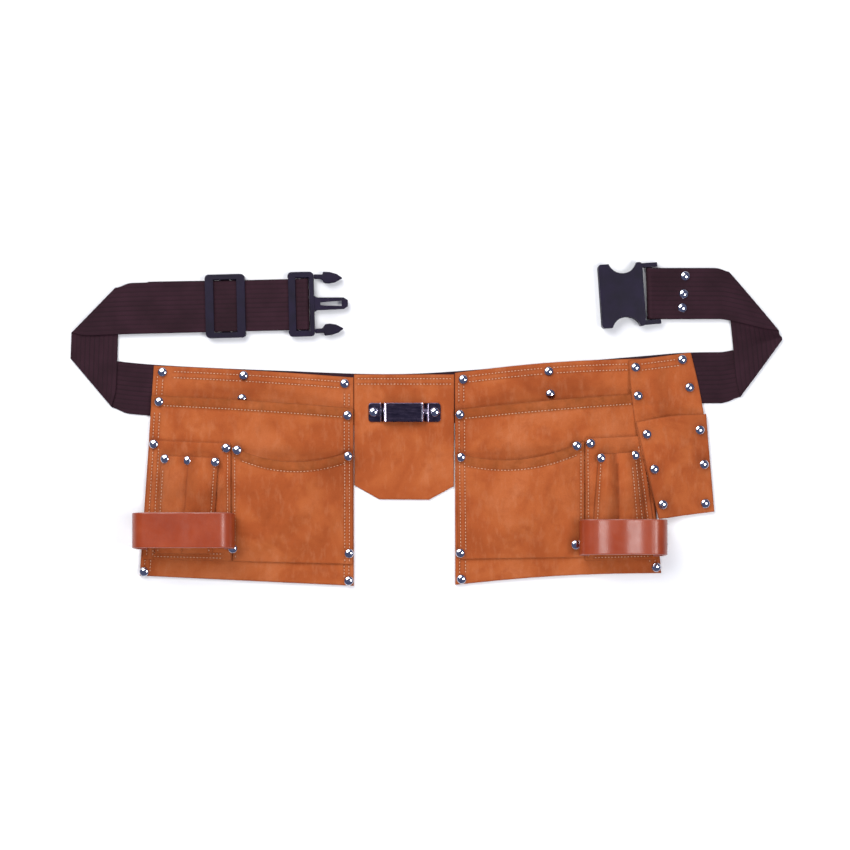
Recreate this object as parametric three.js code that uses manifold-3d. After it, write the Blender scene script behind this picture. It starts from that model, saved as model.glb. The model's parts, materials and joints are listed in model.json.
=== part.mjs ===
// Carpenter's tool belt, laid out flat on its back: two suede nail pouches with a holster and a
// tape clip between them on 50 mm webbing, and a side-release buckle on the folded strap ends.
// Millimetres. +X runs along the belt, +Y towards its top edge, +Z out of the leather's face.
import * as THREE from 'three';
import { mergeVertices } from 'three/addons/utils/BufferGeometryUtils.js';
import Module from 'manifold-3d';

const wasm = await Module();
wasm.setup();

// Stock
const WEB_WIDTH = 50;
const WEB_THICKNESS = 1.6;
const LEATHER = 1.8;
const STRAP_LEATHER = 2.6;
const GAP = 0.3;

// Heights of the webbing layers where they are folded over each other
const WEB_LEVEL = WEB_THICKNESS + GAP;
const RISER_Z = WEB_LEVEL;
const UPPER_Z = 2 * WEB_LEVEL;

// How an upper sheet steps down past the edge of a lower one
const STEP_MARGIN = 7;
const STEP_RAMP = 34;

// Rivets: domed cap in front, flat cap let into the back
const RIVET_CAP_RADIUS = 4.5;
const RIVET_CAP_HEIGHT = 2.3;
const RIVET_POST_RADIUS = 1.5;
const RIVET_BACK_RADIUS = 3.2;
const RIVET_BACK_HEIGHT = 0.6;
const RIVET_SIDES = 8;
const RIVET_SEAT = 0.4;

// Hammer loop: width and height of the strap, and the radii and feet of its bent ends
const LOOP = { width: 34, rise: 27, curl: 6.5, foot: 3, shoulder: 13 };

// Tape clip
const CLIP_PLATE = 1.2;

// Fold centres and strap directions (degrees) on each side
const LEFT_LOWER_FOLD = { x: -326.8, y: 40.4 };
const LEFT_UPPER_FOLD = { x: -324.5, y: 113.0 };
const LEFT_LOWER_ANGLE = 173.6;
const LEFT_UPPER_ANGLE = 1.4;
const RIGHT_LOWER_FOLD = { x: 329.0, y: 46.0 };
const RIGHT_UPPER_FOLD = { x: 321.8, y: 128.5 };
const RIGHT_LOWER_ANGLE = 0;
const RIGHT_UPPER_ANGLE = 180;

// Where the belt bends round the waist, beside the centre panel
const LEFT_WRAP_X = -69.8;
const RIGHT_WRAP_X = 28.9;

// Strap hardware
const PLUG_DISTANCE = 203.6;
const PLUG_BAR_OFFSET = 3.9;
const LEFT_BAR_DISTANCE = PLUG_DISTANCE + PLUG_BAR_OFFSET;
const SLIDER_DISTANCE = 129.5;
const LEFT_TAIL_START = 54;
const RIGHT_BAR_DISTANCE = 100.3;
const RIGHT_TAIL_START = 58;
const MALE_BAR_RADIUS = 1.9;
const MALE_BAR_Z = 4.0;
const FEMALE_BAR_RADIUS = 2.2;
const FEMALE_BAR_Z = 4.3;
const FEMALE_LEAN = 4;

const colours = {
  webbing: [0x42252f, 0.85, 0.0],
  suede: [0xbd6640, 0.9, 0.0],
  strapLeather: [0xae5030, 0.42, 0.0],
  plastic: [0x2b2638, 0.4, 0.0],
  chrome: [0xd9dbe2, 0.12, 1.0],
  clipSteel: [0x4b4450, 0.22, 1.0],
};

function material(name) {
  const [color, roughness, metalness] = colours[name];
  return new THREE.MeshStandardMaterial({ color, roughness, metalness });
}

function piece(name, geometry, materialName) {
  const mesh = new THREE.Mesh(geometry, material(materialName));
  mesh.name = name;
  return mesh;
}

const degrees = THREE.MathUtils.degToRad;
const smoothstep = THREE.MathUtils.smoothstep;
const lerp = THREE.MathUtils.lerp;

// ---- Solids -------------------------------------------------------------------------------

// The geometry with shared vertices merged and no triangle that has two corners alike.
function bare(geometry) {
  const copy = geometry.clone();
  copy.deleteAttribute('normal');
  copy.deleteAttribute('uv');
  const merged = mergeVertices(copy, 1e-3);
  const corners = Array.from(merged.index.array);
  const kept = [];
  for (let i = 0; i < corners.length; i += 3) {
    const [a, b, c] = corners.slice(i, i + 3);
    if (a !== b && b !== c && c !== a) kept.push(a, b, c);
  }
  merged.setIndex(kept);
  return merged;
}

function toSolid(geometry) {
  const merged = bare(geometry);
  return new wasm.Manifold(new wasm.Mesh({
    numProp: 3,
    vertProperties: new Float32Array(merged.attributes.position.array),
    triVerts: new Uint32Array(merged.index.array),
  }));
}

function fromSolid(solid) {
  const mesh = solid.getMesh();
  const geometry = new THREE.BufferGeometry();
  geometry.setAttribute('position', new THREE.BufferAttribute(mesh.vertProperties, 3));
  geometry.setIndex(new THREE.BufferAttribute(mesh.triVerts, 1));
  return bare(geometry);
}

function joined(...geometries) {
  return fromSolid(geometries.map(toSolid).reduce((sum, next) => sum.add(next)));
}

function without(geometry, ...cutters) {
  return fromSolid(cutters.map(toSolid).reduce((rest, next) => rest.subtract(next), toSolid(geometry)));
}

function within(geometry, keep) {
  return fromSolid(toSolid(geometry).intersect(toSolid(keep)));
}

function box(low, high) {
  const [x, y, z] = low.map((value, axis) => high[axis] - value);
  return new THREE.BoxGeometry(x, y, z)
    .translate(low[0] + x / 2, low[1] + y / 2, low[2] + z / 2);
}

function plate(points, z, thickness) {
  const shape = new THREE.Shape(points.map(([x, y]) => new THREE.Vector2(x, y)));
  return new THREE.ExtrudeGeometry(shape, { depth: thickness, bevelEnabled: false }).translate(0, 0, z);
}

function roundedRect(width, height, radius) {
  const [w, h] = [width / 2 - radius, height / 2 - radius];
  const shape = new THREE.Shape();
  shape.absarc(w, h, radius, 0, Math.PI / 2);
  shape.absarc(-w, h, radius, Math.PI / 2, Math.PI);
  shape.absarc(-w, -h, radius, Math.PI, Math.PI * 1.5);
  shape.absarc(w, -h, radius, Math.PI * 1.5, Math.PI * 2);
  return shape;
}

function roundedPlate(width, height, radius, z, thickness) {
  const shape = roundedRect(width, height, radius);
  return new THREE.ExtrudeGeometry(shape, { depth: thickness, bevelEnabled: false, curveSegments: 4 })
    .translate(0, 0, z);
}

function barAlongY(radius, length, x, z, sides = 12) {
  return new THREE.CylinderGeometry(radius, radius, length, sides).translate(x, 0, z);
}

// A band of even thickness whose middle line runs through points in the XZ plane, width along Y.
function band(points, thickness, width) {
  const line = points.map(([x, z]) => new THREE.Vector2(x, z));
  const normals = line.map((point, i) => {
    const before = line[Math.max(i - 1, 0)];
    const after = line[Math.min(i + 1, line.length - 1)];
    const along = after.clone().sub(before).normalize();
    return new THREE.Vector2(-along.y, along.x).multiplyScalar(thickness / 2);
  });
  const upper = line.map((point, i) => point.clone().add(normals[i]));
  const lower = line.map((point, i) => point.clone().sub(normals[i])).reverse();
  const shape = new THREE.Shape([...upper, ...lower]);
  return new THREE.ExtrudeGeometry(shape, { depth: width, bevelEnabled: false })
    .rotateX(Math.PI / 2)
    .translate(0, width / 2, 0);
}

function arc(x, z, radius, from, to, steps) {
  return Array.from({ length: steps + 1 }, (_, i) => {
    const angle = degrees(lerp(from, to, i / steps));
    return [x + radius * Math.cos(angle), z + radius * Math.sin(angle)];
  });
}

// ---- Layers that lie on each other ---------------------------------------------------------

const flat = () => 0;

// A four-cornered sheet outline, corners in the order top left, top right, bottom right, bottom left.
// topDrop and bottomDrop lower those edges by a height that depends on the place along the edge,
// and the bows push the left and right edges outwards.
class Outline {
  constructor(corners, topDrop = flat, bottomDrop = flat, leftBow = flat, rightBow = flat) {
    [this.tl, this.tr, this.br, this.bl] = corners;
    this.topDrop = topDrop;
    this.bottomDrop = bottomDrop;
    this.leftBow = leftBow;
    this.rightBow = rightBow;
  }

  point(u, v) {
    const x = lerp(lerp(this.bl[0], this.br[0], u), lerp(this.tl[0], this.tr[0], u), v);
    const y = lerp(lerp(this.bl[1], this.br[1], u), lerp(this.tl[1], this.tr[1], u), v);
    const bowed = this.rightBow(v) * u - this.leftBow(v) * (1 - u);
    const drop = this.topDrop(u) * v * v + this.bottomDrop(u) * (1 - v) ** 2;
    return [x + bowed, y - drop];
  }

  // The place (u, v) whose undropped point is (x, y), found by two rounds of substitution.
  place(x, y) {
    let [u, v] = [0.5, 0.5];
    for (let round = 0; round < 3; round++) {
      const bottom = lerp(this.bl[1], this.br[1], u);
      const top = lerp(this.tl[1], this.tr[1], u);
      v = (y - bottom) / (top - bottom);
      const left = lerp(this.bl[0], this.tl[0], v);
      const right = lerp(this.br[0], this.tr[0], v);
      u = (x - left) / (right - left);
    }
    return [u, v];
  }

  // 1 inside the outline and a margin round it, falling to 0 beyond the ramp.
  cover(x, y) {
    const [u, v] = this.place(x, y);
    const across = (Math.abs(u - 0.5) - 0.5) * Math.abs(this.tr[0] - this.tl[0]);
    const along = (Math.abs(v - 0.5) - 0.5) * Math.abs(this.tl[1] - this.bl[1]);
    const outside = Math.max(across, along);
    return 1 - smoothstep(outside, STEP_MARGIN, STEP_MARGIN + STEP_RAMP);
  }
}

// A sheet that rests on lower sheets, bulging away from them by a height bulge(u, v).
class Sheet {
  constructor({ name, outline, columns, rows, below, bulge = () => 0, thickness = LEATHER }) {
    Object.assign(this, { name, outline, columns, rows, below, bulge, thickness });
  }

  base(x, y) {
    const [u, v] = this.outline.place(x, y);
    const rest = Math.max(0, ...this.below.map((layer) => layer.outline.cover(x, y) * layer.top(x, y)));
    return rest + this.bulge(THREE.MathUtils.clamp(u, 0, 1), THREE.MathUtils.clamp(v, 0, 1));
  }

  top(x, y) {
    return this.base(x, y) + this.thickness + GAP;
  }

  geometry() {
    const sheet = new THREE.BoxGeometry(1, 1, 1, this.columns, this.rows, 1);
    const position = sheet.attributes.position;
    for (let i = 0; i < position.count; i++) {
      const [x, y] = this.outline.point(position.getX(i) + 0.5, position.getY(i) + 0.5);
      const lift = position.getZ(i) > 0 ? this.thickness : 0;
      position.setXYZ(i, x, y, this.base(x, y) + lift);
    }
    return sheet;
  }
}

// A pocket front: sewn down both sides and the bottom, fullest in the middle of its mouth.
function pocketBulge(height) {
  return (u, v) => {
    const across = (1 - (2 * u - 1) ** 2) ** 1.5;
    const along = Math.sin(Math.min(1, v / 0.7) * Math.PI / 2);
    return height * across * along;
  };
}

// A row of tubes between stitch lines at the places given across the sheet.
function tubeBulge(height, seams) {
  return (u, v) => {
    const next = Math.max(1, seams.findIndex((seam) => seam >= u));
    const across = Math.sin(Math.PI * (u - seams[next - 1]) / (seams[next] - seams[next - 1]));
    const closed = Math.min(1, v / 0.12);
    return height * Math.max(0, across) ** 0.8 * closed;
  };
}

// ---- Webbing ------------------------------------------------------------------------------

const waistLine = new THREE.SplineCurve([
  [-327, 40.4], [-265, 34], [-150, 28.5], [-20, 25], [110, 34], [209, 42], [262, 46], [329, 46],
].map(([x, y]) => new THREE.Vector2(x, y)));
const WAIST_SAMPLES = 60;
const waistPoints = waistLine.getPoints(WAIST_SAMPLES);

function waistHeight(x) {
  const beyond = waistPoints.filter((point) => point.x < x).length;
  const next = THREE.MathUtils.clamp(beyond, 1, WAIST_SAMPLES);
  const [before, after] = [waistPoints[next - 1], waistPoints[next]];
  return lerp(before.y, after.y, (x - before.x) / (after.x - before.x));
}

// The webbing behind the leather, as the lowest layer that the sheets rest on.
const waistLayer = {
  outline: {
    cover: (x, y) => {
      const outside = Math.abs(y - waistHeight(THREE.MathUtils.clamp(x, -325, 325))) - WEB_WIDTH / 2;
      return 1 - smoothstep(outside, STEP_MARGIN, STEP_MARGIN + STEP_RAMP);
    },
  },
  top: () => WEB_LEVEL,
};

// The two ends of a fold line: the strap comes in at one angle and leaves at another.
function foldEnds(centre, angleIn, angleOut) {
  const line = degrees((angleIn + angleOut) / 2);
  const half = WEB_WIDTH / 2 / Math.abs(Math.sin(line - degrees(angleIn)));
  const [dx, dy] = [half * Math.cos(line), half * Math.sin(line)];
  const ends = [[centre.x - dx, centre.y - dy], [centre.x + dx, centre.y + dy]];
  return ends.sort((a, b) => a[1] - b[1]);
}

function riserAngle(lower, upper) {
  return THREE.MathUtils.radToDeg(Math.atan2(upper.y - lower.y, upper.x - lower.x));
}

const leftRiserAngle = riserAngle(LEFT_LOWER_FOLD, LEFT_UPPER_FOLD);
const rightRiserAngle = riserAngle(RIGHT_LOWER_FOLD, RIGHT_UPPER_FOLD);
const leftLowerEnds = foldEnds(LEFT_LOWER_FOLD, LEFT_LOWER_ANGLE, leftRiserAngle);
const leftUpperEnds = foldEnds(LEFT_UPPER_FOLD, leftRiserAngle, LEFT_UPPER_ANGLE);
const rightLowerEnds = foldEnds(RIGHT_LOWER_FOLD, RIGHT_LOWER_ANGLE, rightRiserAngle);
const rightUpperEnds = foldEnds(RIGHT_UPPER_FOLD, rightRiserAngle, RIGHT_UPPER_ANGLE);

// A stretch of the waist webbing between two ends, each a pair of edge points or a plain x.
function waistWeb(name, start, end, step = 24) {
  const edge = (x, side) => [x, waistHeight(x) + side * WEB_WIDTH / 2];
  const ends = [start, end].map((at) => (Array.isArray(at) ? at : [edge(at, -1), edge(at, 1)]));
  const edgePoints = (side, low, high) => {
    const count = Math.max(1, Math.round((high - low) / step));
    return Array.from({ length: count - 1 }, (_, i) => edge(lerp(low, high, (i + 1) / count), side));
  };
  const lower = [ends[0][0], ...edgePoints(-1, ends[0][0][0], ends[1][0][0]), ends[1][0]];
  const upper = [ends[0][1], ...edgePoints(1, ends[0][1][0], ends[1][1][0]), ends[1][1]];
  return piece(name, plate([...lower, ...upper.reverse()], 0, WEB_THICKNESS), 'webbing');
}

function riserWeb(name, lowerEnds, upperEnds) {
  const fallsToLeft = lowerEnds[0][0] > lowerEnds[1][0];
  const loop = fallsToLeft
    ? [lowerEnds[0], upperEnds[1], upperEnds[0], lowerEnds[1]]
    : [lowerEnds[0], lowerEnds[1], upperEnds[0], upperEnds[1]];
  return piece(name, plate(loop, RISER_Z, WEB_THICKNESS), 'webbing');
}

// The strap from its upper fold to a buckle's bar, round the bar and back behind itself.
// Its own frame has +X along the strap from the fold, with the fold line through the origin.
// The webbing skews in its own plane where the bar that it loops round leans.
function upperWeb(name, { barDistance, barRadius, barZ, lean, tailStart, foldLine, rivets }) {
  const front = UPPER_Z + WEB_THICKNESS / 2;
  const back = RISER_Z + WEB_THICKNESS / 2;
  const eye = barRadius + GAP + WEB_THICKNESS / 2;
  const neck = 9;
  const skew = 24;
  const profile = [
    [-WEB_WIDTH, front],
    [barDistance - neck - skew, front],
    [barDistance - neck, front],
    ...arc(barDistance, barZ, eye, 125, -125, 12),
    [barDistance - neck, back],
    [barDistance - neck - skew, back],
    [tailStart, back],
  ];
  const strip = band(profile, WEB_THICKNESS, WEB_WIDTH);
  const position = strip.attributes.position;
  for (let i = 0; i < position.count; i++) {
    const nearBar = position.getX(i) > barDistance - neck - 1 ? 1 : 0;
    position.setX(i, position.getX(i) - nearBar * Math.tan(degrees(lean)) * position.getY(i));
  }
  const half = WEB_WIDTH;
  const reach = half / Math.tan(foldLine);
  const beyond = plate(
    [[-reach, -half], [reach, half], [-3 * WEB_WIDTH, half], [-3 * WEB_WIDTH, -half]],
    UPPER_Z - 1, WEB_THICKNESS + 2,
  );
  const holes = rivets.map(([x, y]) => rivetClearance(RISER_Z, UPPER_Z + WEB_THICKNESS).translate(x, y, 0));
  return piece(name, without(strip, beyond, ...holes), 'webbing');
}

// ---- Rivets -------------------------------------------------------------------------------

function rivetProfile(bottom, top, grow) {
  const seat = top + RIVET_SEAT - grow;
  const post = RIVET_POST_RADIUS + grow;
  const back = RIVET_BACK_RADIUS + grow;
  const backTop = bottom + RIVET_BACK_HEIGHT + grow;
  return [
    [0, bottom - grow], [back, bottom - grow], [back, backTop], [post, backTop], [post, seat],
    [RIVET_CAP_RADIUS + grow, seat],
  ];
}

function lathe(profile) {
  const points = profile.map(([r, z]) => new THREE.Vector2(r, z));
  return new THREE.LatheGeometry(points, RIVET_SIDES).rotateX(Math.PI / 2);
}

// Room for a rivet: the post's hole, the recess of its back cap and the space above the sheet.
function rivetClearance(bottom, top) {
  const above = top + RIVET_CAP_HEIGHT + 4;
  return lathe([...rivetProfile(bottom, top, GAP), [RIVET_CAP_RADIUS + GAP, above], [0, above]]);
}

function rivetGeometry(bottom, top) {
  const seat = top + RIVET_SEAT;
  const rim = 0.4;
  const share = 0.7;
  const shoulder = [RIVET_CAP_RADIUS * Math.sqrt(1 - share ** 2), seat + lerp(rim, RIVET_CAP_HEIGHT, share)];
  return lathe([
    ...rivetProfile(bottom, top, 0),
    [RIVET_CAP_RADIUS, seat + rim], shoulder, [0, seat + RIVET_CAP_HEIGHT],
  ]);
}

// ---- Leather work -------------------------------------------------------------------------

const hump = (height) => (u) => -height * Math.sin(Math.PI * u);
const scoop = (depth) => (u) => depth * Math.sin(Math.PI * u) ** 0.8;
const shoulderBow = (depth) => (v) => depth * Math.sin(Math.PI * v ** 1.3);
const chamfer = (depth, share) => (u) => depth * Math.min(1, Math.min(u, 1 - u) / share);

function pouchSheets(side, place) {
  const back = new Sheet({ name: `${side}_back_panel`, ...place.back, below: [waistLayer] });
  const main = new Sheet({ name: `${side}_main_pocket`, ...place.main, below: [back] });
  const small = new Sheet({ name: `${side}_small_pocket`, ...place.small, below: [main] });
  const panel = new Sheet({ name: `${side}_tool_panel`, ...place.panel, below: [main] });
  const sleeve = new Sheet({ name: `${side}_pencil_sleeve`, ...place.sleeve, below: [panel] });
  return { back, main, small, panel, sleeve };
}

const left = pouchSheets('left', {
  back: {
    outline: new Outline([[-265.3, 58.2], [-70, 46.5], [-69.7, -157.5], [-279.4, -147.5]], hump(1)),
    columns: 8, rows: 12,
  },
  main: {
    outline: new Outline([[-267, 29], [-70, 16.5], [-69.8, -157], [-279, -147]], hump(1)),
    columns: 14, rows: 12, bulge: pocketBulge(13),
  },
  small: {
    outline: new Outline([[-187, -20.5], [-70.8, -24.5], [-70.8, -136], [-187.4, -133]], scoop(13)),
    columns: 10, rows: 8, bulge: pocketBulge(9),
  },
  panel: {
    outline: new Outline([[-268.5, -14.7], [-188.4, -17.6], [-189, -133], [-276, -131]]),
    columns: 6, rows: 6,
  },
  sleeve: {
    outline: new Outline([[-257, -29.5], [-199.8, -31.5], [-207, -125.5], [-263.5, -125.5]]),
    columns: 12, rows: 4, bulge: tubeBulge(6.5, [0, 0.46, 1]),
  },
});

const right = pouchSheets('right', {
  back: {
    outline: new Outline([[29.2, 51], [214, 65], [231.2, -145], [29.6, -156.5]], hump(3), hump(3)),
    columns: 8, rows: 12,
  },
  main: {
    outline: new Outline([[29.4, 15], [214, 31], [230.8, -144.8], [29.8, -156]], hump(1), hump(3)),
    columns: 14, rows: 12, bulge: pocketBulge(13),
  },
  small: {
    outline: new Outline([[31, -27], [154.4, -15], [155, -129], [32.5, -131]], scoop(12)),
    columns: 10, rows: 8, bulge: pocketBulge(9),
  },
  panel: {
    outline: new Outline([[155.6, -12.8], [211, -10.6], [228, -131], [156.3, -132.5]]),
    columns: 6, rows: 6,
  },
  sleeve: {
    outline: new Outline([[168.5, -28.5], [207, -25.8], [219.5, -125.5], [161.3, -125.5]]),
    columns: 12, rows: 4, bulge: tubeBulge(6.5, [0, 0.47, 1]),
  },
});

const holsterBack = new Sheet({
  name: 'holster_back_flap',
  outline: new Outline(
    [[199.3, 63], [260, 71], [282, -84], [227.8, -91]], flat, flat, shoulderBow(5.4), shoulderBow(4.2),
  ),
  columns: 7, rows: 12, below: [waistLayer, right.back, right.main, right.panel],
});
const holsterFront = new Sheet({
  name: 'holster_pocket',
  outline: new Outline([[205.5, 2.9], [274.8, 10.8], [283, -84.7], [228.2, -91.7]], hump(2)),
  columns: 10, rows: 12, below: [holsterBack], bulge: pocketBulge(8),
});
const centrePanel = new Sheet({
  name: 'centre_panel',
  outline: new Outline(
    [[-69.5, 49.5], [28.6, 49.5], [28.2, -60], [-69.2, -59]], flat, chamfer(13.5, 0.25),
  ),
  columns: 8, rows: 8, below: [waistLayer],
});

const sheets = [...Object.values(left), ...Object.values(right), holsterBack, holsterFront, centrePanel];

// Each rivet: place, the sheets it holds together from the back, and whether it holds webbing too.
const rivetPlaces = {
  left_pouch: [
    { at: [-256.8, 51.6], through: [left.back], web: true },
    { at: [-177.4, 48.2], through: [left.back], web: true },
    { at: [-78.6, 40.4], through: [left.back], web: true },
    { at: [-259.4, 22.7], through: [left.back, left.main], web: true },
    { at: [-75.8, 9.4], through: [left.back, left.main], web: true },
    { at: [-264.5, -18.7], through: [left.back, left.main, left.panel] },
    { at: [-192.6, -22.4], through: [left.main, left.panel] },
    { at: [-181.8, -24.4], through: [left.main, left.small] },
    { at: [-252.4, -33.0], through: [left.main, left.panel, left.sleeve] },
    { at: [-230.6, -34.6], through: [left.main, left.panel, left.sleeve] },
    { at: [-203.2, -35.9], through: [left.main, left.panel, left.sleeve] },
    { at: [-75.0, -30.4], through: [left.main, left.small] },
    { at: [-274.7, -143.4], through: [left.back, left.main] },
    { at: [-74.6, -152.3], through: [left.back, left.main] },
  ],
  right_pouch: [
    { at: [37.4, 44.5], through: [right.back], web: true },
    { at: [121.1, 52.4], through: [right.back], web: true },
    { at: [34.2, 10.2], through: [right.back, right.main], web: true },
    { at: [35.4, -31.5], through: [right.main, right.small] },
    { at: [147.0, -20.2], through: [right.main, right.small] },
    { at: [160.6, -17.8], through: [right.main, right.panel] },
    { at: [35.7, -150.7], through: [right.back, right.main] },
    { at: [226.1, -139.0], through: [right.back, right.main] },
  ],
  holster: [
    { at: [251.8, 63.9], through: [holsterBack], web: true },
    { at: [258.8, 36.7], through: [holsterBack], web: true },
    { at: [268.2, -4.8], through: [holsterBack, holsterFront] },
    { at: [272.5, -38.5], through: [holsterBack, holsterFront] },
    { at: [274.0, -76.8], through: [holsterBack, holsterFront] },
  ],
  clip: [
    { at: [-50.3, 12.6], through: [centrePanel], web: true, plate: true },
    { at: [9.7, 12.6], through: [centrePanel], web: true, plate: true },
  ],
};

const rivets = Object.entries(rivetPlaces).flatMap(([group, places]) => places.map((place, i) => {
  const [x, y] = place.at;
  const bottom = place.web ? 0.1 : place.through[0].base(x, y) + 0.1;
  const cover = place.plate ? CLIP_PLATE + GAP : 0;
  const top = place.through.at(-1).top(x, y) - GAP + cover;
  return { ...place, x, y, bottom, top, cover, name: `${group}_rivet_${i + 1}` };
}));

function riveted(geometry, holds) {
  const cutters = rivets.filter(holds)
    .map(({ x, y, bottom, top }) => rivetClearance(bottom, top).translate(x, y, 0));
  return cutters.length ? without(geometry, ...cutters) : geometry;
}

function sheetPiece(sheet) {
  return piece(sheet.name, riveted(sheet.geometry(), ({ through }) => through.includes(sheet)), 'suede');
}

// A stiff leather loop for a hammer's handle: a flattened C whose ends curl under it.
function hammerLoop(name, panel, outerX, innerX, y, lean) {
  const { width, rise, curl, foot, shoulder } = LOOP;
  const seat = (from, to) => STRAP_LEATHER / 2 + 0.5 + Math.max(
    ...[from, to].flatMap((x) => [-0.6, 0, 0.6].map((share) => panel.top(x, y + share * width))),
  );
  const low = seat(outerX + curl, outerX + curl + foot);
  const high = seat(innerX - curl - foot, innerX - curl);
  const crown = Math.max(low, high) + rise;
  const points = [
    [outerX + curl + foot, low], [outerX + curl, low],
    ...arc(outerX + curl, low + curl, curl, 255, 195, 3),
    ...arc(outerX + shoulder, crown - shoulder, shoulder, 170, 100, 4),
    ...arc(innerX - shoulder, crown - shoulder, shoulder, 80, 10, 4),
    ...arc(innerX - curl, high + curl, curl, -15, -75, 3),
    [innerX - curl, high], [innerX - curl - foot, high],
  ];
  const loop = band(points, STRAP_LEATHER, width).rotateZ(degrees(lean)).translate(0, y, 0);
  return piece(name, loop, 'strapLeather');
}

// ---- Metal and plastic parts --------------------------------------------------------------

function tapeClip() {
  const width = 70.5;
  const height = 18.6;
  const bridge = 45.4;
  const rise = 6.2;
  const centre = [-20, 12.3];
  const floor = centrePanel.top(centre[0], centre[1]) + CLIP_PLATE / 2;
  const profile = [
    [-width / 2, floor], [-bridge / 2 - 1, floor], [-bridge / 2 + 1.5, floor + rise],
    [bridge / 2 - 1.5, floor + rise], [bridge / 2 + 1, floor], [width / 2, floor],
  ];
  const strip = band(profile, CLIP_PLATE, height);
  const rounded = roundedPlate(width, height, 3, floor - 5, rise + 10);
  const clip = within(strip, rounded).translate(centre[0], centre[1], 0);
  return piece('tape_clip', riveted(clip, ({ plate: holdsClip }) => holdsClip), 'clipSteel');
}

const FRAME_Z = 0.4;
const FRAME_TOP = 8.4;
const WEB_TOP = UPPER_Z + WEB_THICKNESS;
const WINDOW = WEB_WIDTH + 2 * 0.9;

// The slider: side bars over the webbing, a centre bar under it, two rails joining them.
function slider() {
  const width = 39;
  const height = 62;
  const sideBar = 8.2;
  const barTop = RISER_Z - GAP;
  const face = roundedPlate(width, height, 4, WEB_TOP + GAP, FRAME_TOP - WEB_TOP - GAP);
  const window = box([-width / 2 + sideBar, -WINDOW / 2, 0], [width / 2 - sideBar, WINDOW / 2, 20]);
  const body = roundedPlate(width, height, 4, FRAME_Z, FRAME_TOP - FRAME_Z);
  const strapWay = box([-width, -WINDOW / 2, -1], [width, WINDOW / 2, 20]);
  const centreBar = box([-4, -height / 2 + 2, FRAME_Z], [4, height / 2 - 2, barTop]);
  return joined(without(face, window), without(body, strapWay), centreBar);
}

// The plug half's frame: outer bar over the webbing, the bar it loops round, and the guide tongue.
function maleFrame() {
  const height = 63;
  const front = 12.7;
  const opening = 8.3;
  const outer = roundedPlate(2 * front, height, 4, FRAME_Z, FRAME_TOP - FRAME_Z);
  const strapWay = box([-2 * front, -WINDOW / 2, -1], [opening, WINDOW / 2, 20]);
  const barEnd = height / 2 - 3;
  const outerBar = box([-front + 0.5, -barEnd, WEB_TOP + GAP], [-5.2, barEnd, FRAME_TOP]);
  const bar = barAlongY(MALE_BAR_RADIUS, height - 4, PLUG_BAR_OFFSET, MALE_BAR_Z);
  const tongueSide = [[front - 2, 9], [front + 3, 6.2], [41.6, 5.6], [45.6, 3]];
  const tongue = plate([...tongueSide.map(([x, y]) => [x, -y]), ...tongueSide.reverse()], 3, 4.6);
  const slot = plate([[front + 6, -1.6], [39.6, -2.6], [39.6, 2.6], [front + 6, 1.6]], 0, 10);
  return without(joined(without(outer, strapWay), outerBar, bar, tongue), slot);
}

// One springy side prong: a thin arm with a barbed, leaf-shaped head.
function prong(side) {
  const outline = [
    [13.1, 24.4], [20.1, 24.0], [23.1, 20.0], [27.6, 19.6], [33.6, 20.6], [41.1, 24.6],
    [35.6, 28.6], [28.6, 30.8], [22.0, 31.2], [21.6, 28.6], [13.1, 28.8],
  ];
  const points = side > 0 ? outline : outline.map(([x, y]) => [x, -y]).reverse();
  return plate(points, 2.8, 5.4);
}

// The socket half: a flat box open at the mouth, notched at both sides so the prongs can be pressed.
function femaleBuckle() {
  const height = 62;
  const mouth = 51;
  const start = 8;
  const thickness = 12.6;
  const wall = 3;
  const notchRadius = 14.5;
  const notchDepth = 9.8;
  const notchX = 27;
  const body = roundedPlate(mouth - start, height, 3, FRAME_Z, thickness)
    .translate((mouth + start) / 2, 0, 0);
  const cavity = box([13.5, -27.6, FRAME_Z + wall], [mouth + 1, 27.6, FRAME_Z + thickness - wall]);
  const notches = [1, -1].map((side) => new THREE.CylinderGeometry(notchRadius, notchRadius, 40, 28)
    .rotateX(Math.PI / 2)
    .translate(notchX, side * (height / 2 + notchRadius - notchDepth), 0));
  const lug = (side) => {
    const [inner, outer] = [WINDOW / 2, height / 2 - 1].map((y) => side * y);
    return box([-7, Math.min(inner, outer), FRAME_Z + 0.4], [12, Math.max(inner, outer), 8.8]);
  };
  const bar = barAlongY(FEMALE_BAR_RADIUS, height - 4, 0, FEMALE_BAR_Z);
  return joined(without(body, cavity, ...notches), lug(1), lug(-1), bar);
}

// ---- The belt -----------------------------------------------------------------------------

const belt = new THREE.Group();

function rivetPiece({ name, x, y, bottom, top }) {
  return piece(name, rivetGeometry(bottom, top).translate(x, y, 0), 'chrome');
}

function rivetedWeb(mesh, from, to) {
  mesh.geometry = riveted(mesh.geometry, ({ web, x }) => web && x > from && x < to);
  return mesh;
}

belt.add(
  rivetedWeb(waistWeb('left_waist_web', leftLowerEnds, LEFT_WRAP_X - 0.2), -400, LEFT_WRAP_X),
  rivetedWeb(waistWeb('centre_waist_web', LEFT_WRAP_X + 0.2, RIGHT_WRAP_X - 0.2), LEFT_WRAP_X, RIGHT_WRAP_X),
  rivetedWeb(waistWeb('right_waist_web', RIGHT_WRAP_X + 0.2, rightLowerEnds), RIGHT_WRAP_X, 400),
  riserWeb('left_riser_web', leftLowerEnds, leftUpperEnds),
  riserWeb('right_riser_web', rightLowerEnds, rightUpperEnds),
  ...sheets.map(sheetPiece),
  hammerLoop('left_hammer_loop', left.panel, -280.5, -185, -107, -1),
  hammerLoop('right_hammer_loop', right.panel, 150, 232.5, -109.5, 0),
  tapeClip(),
  ...rivets.map(rivetPiece),
);

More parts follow.
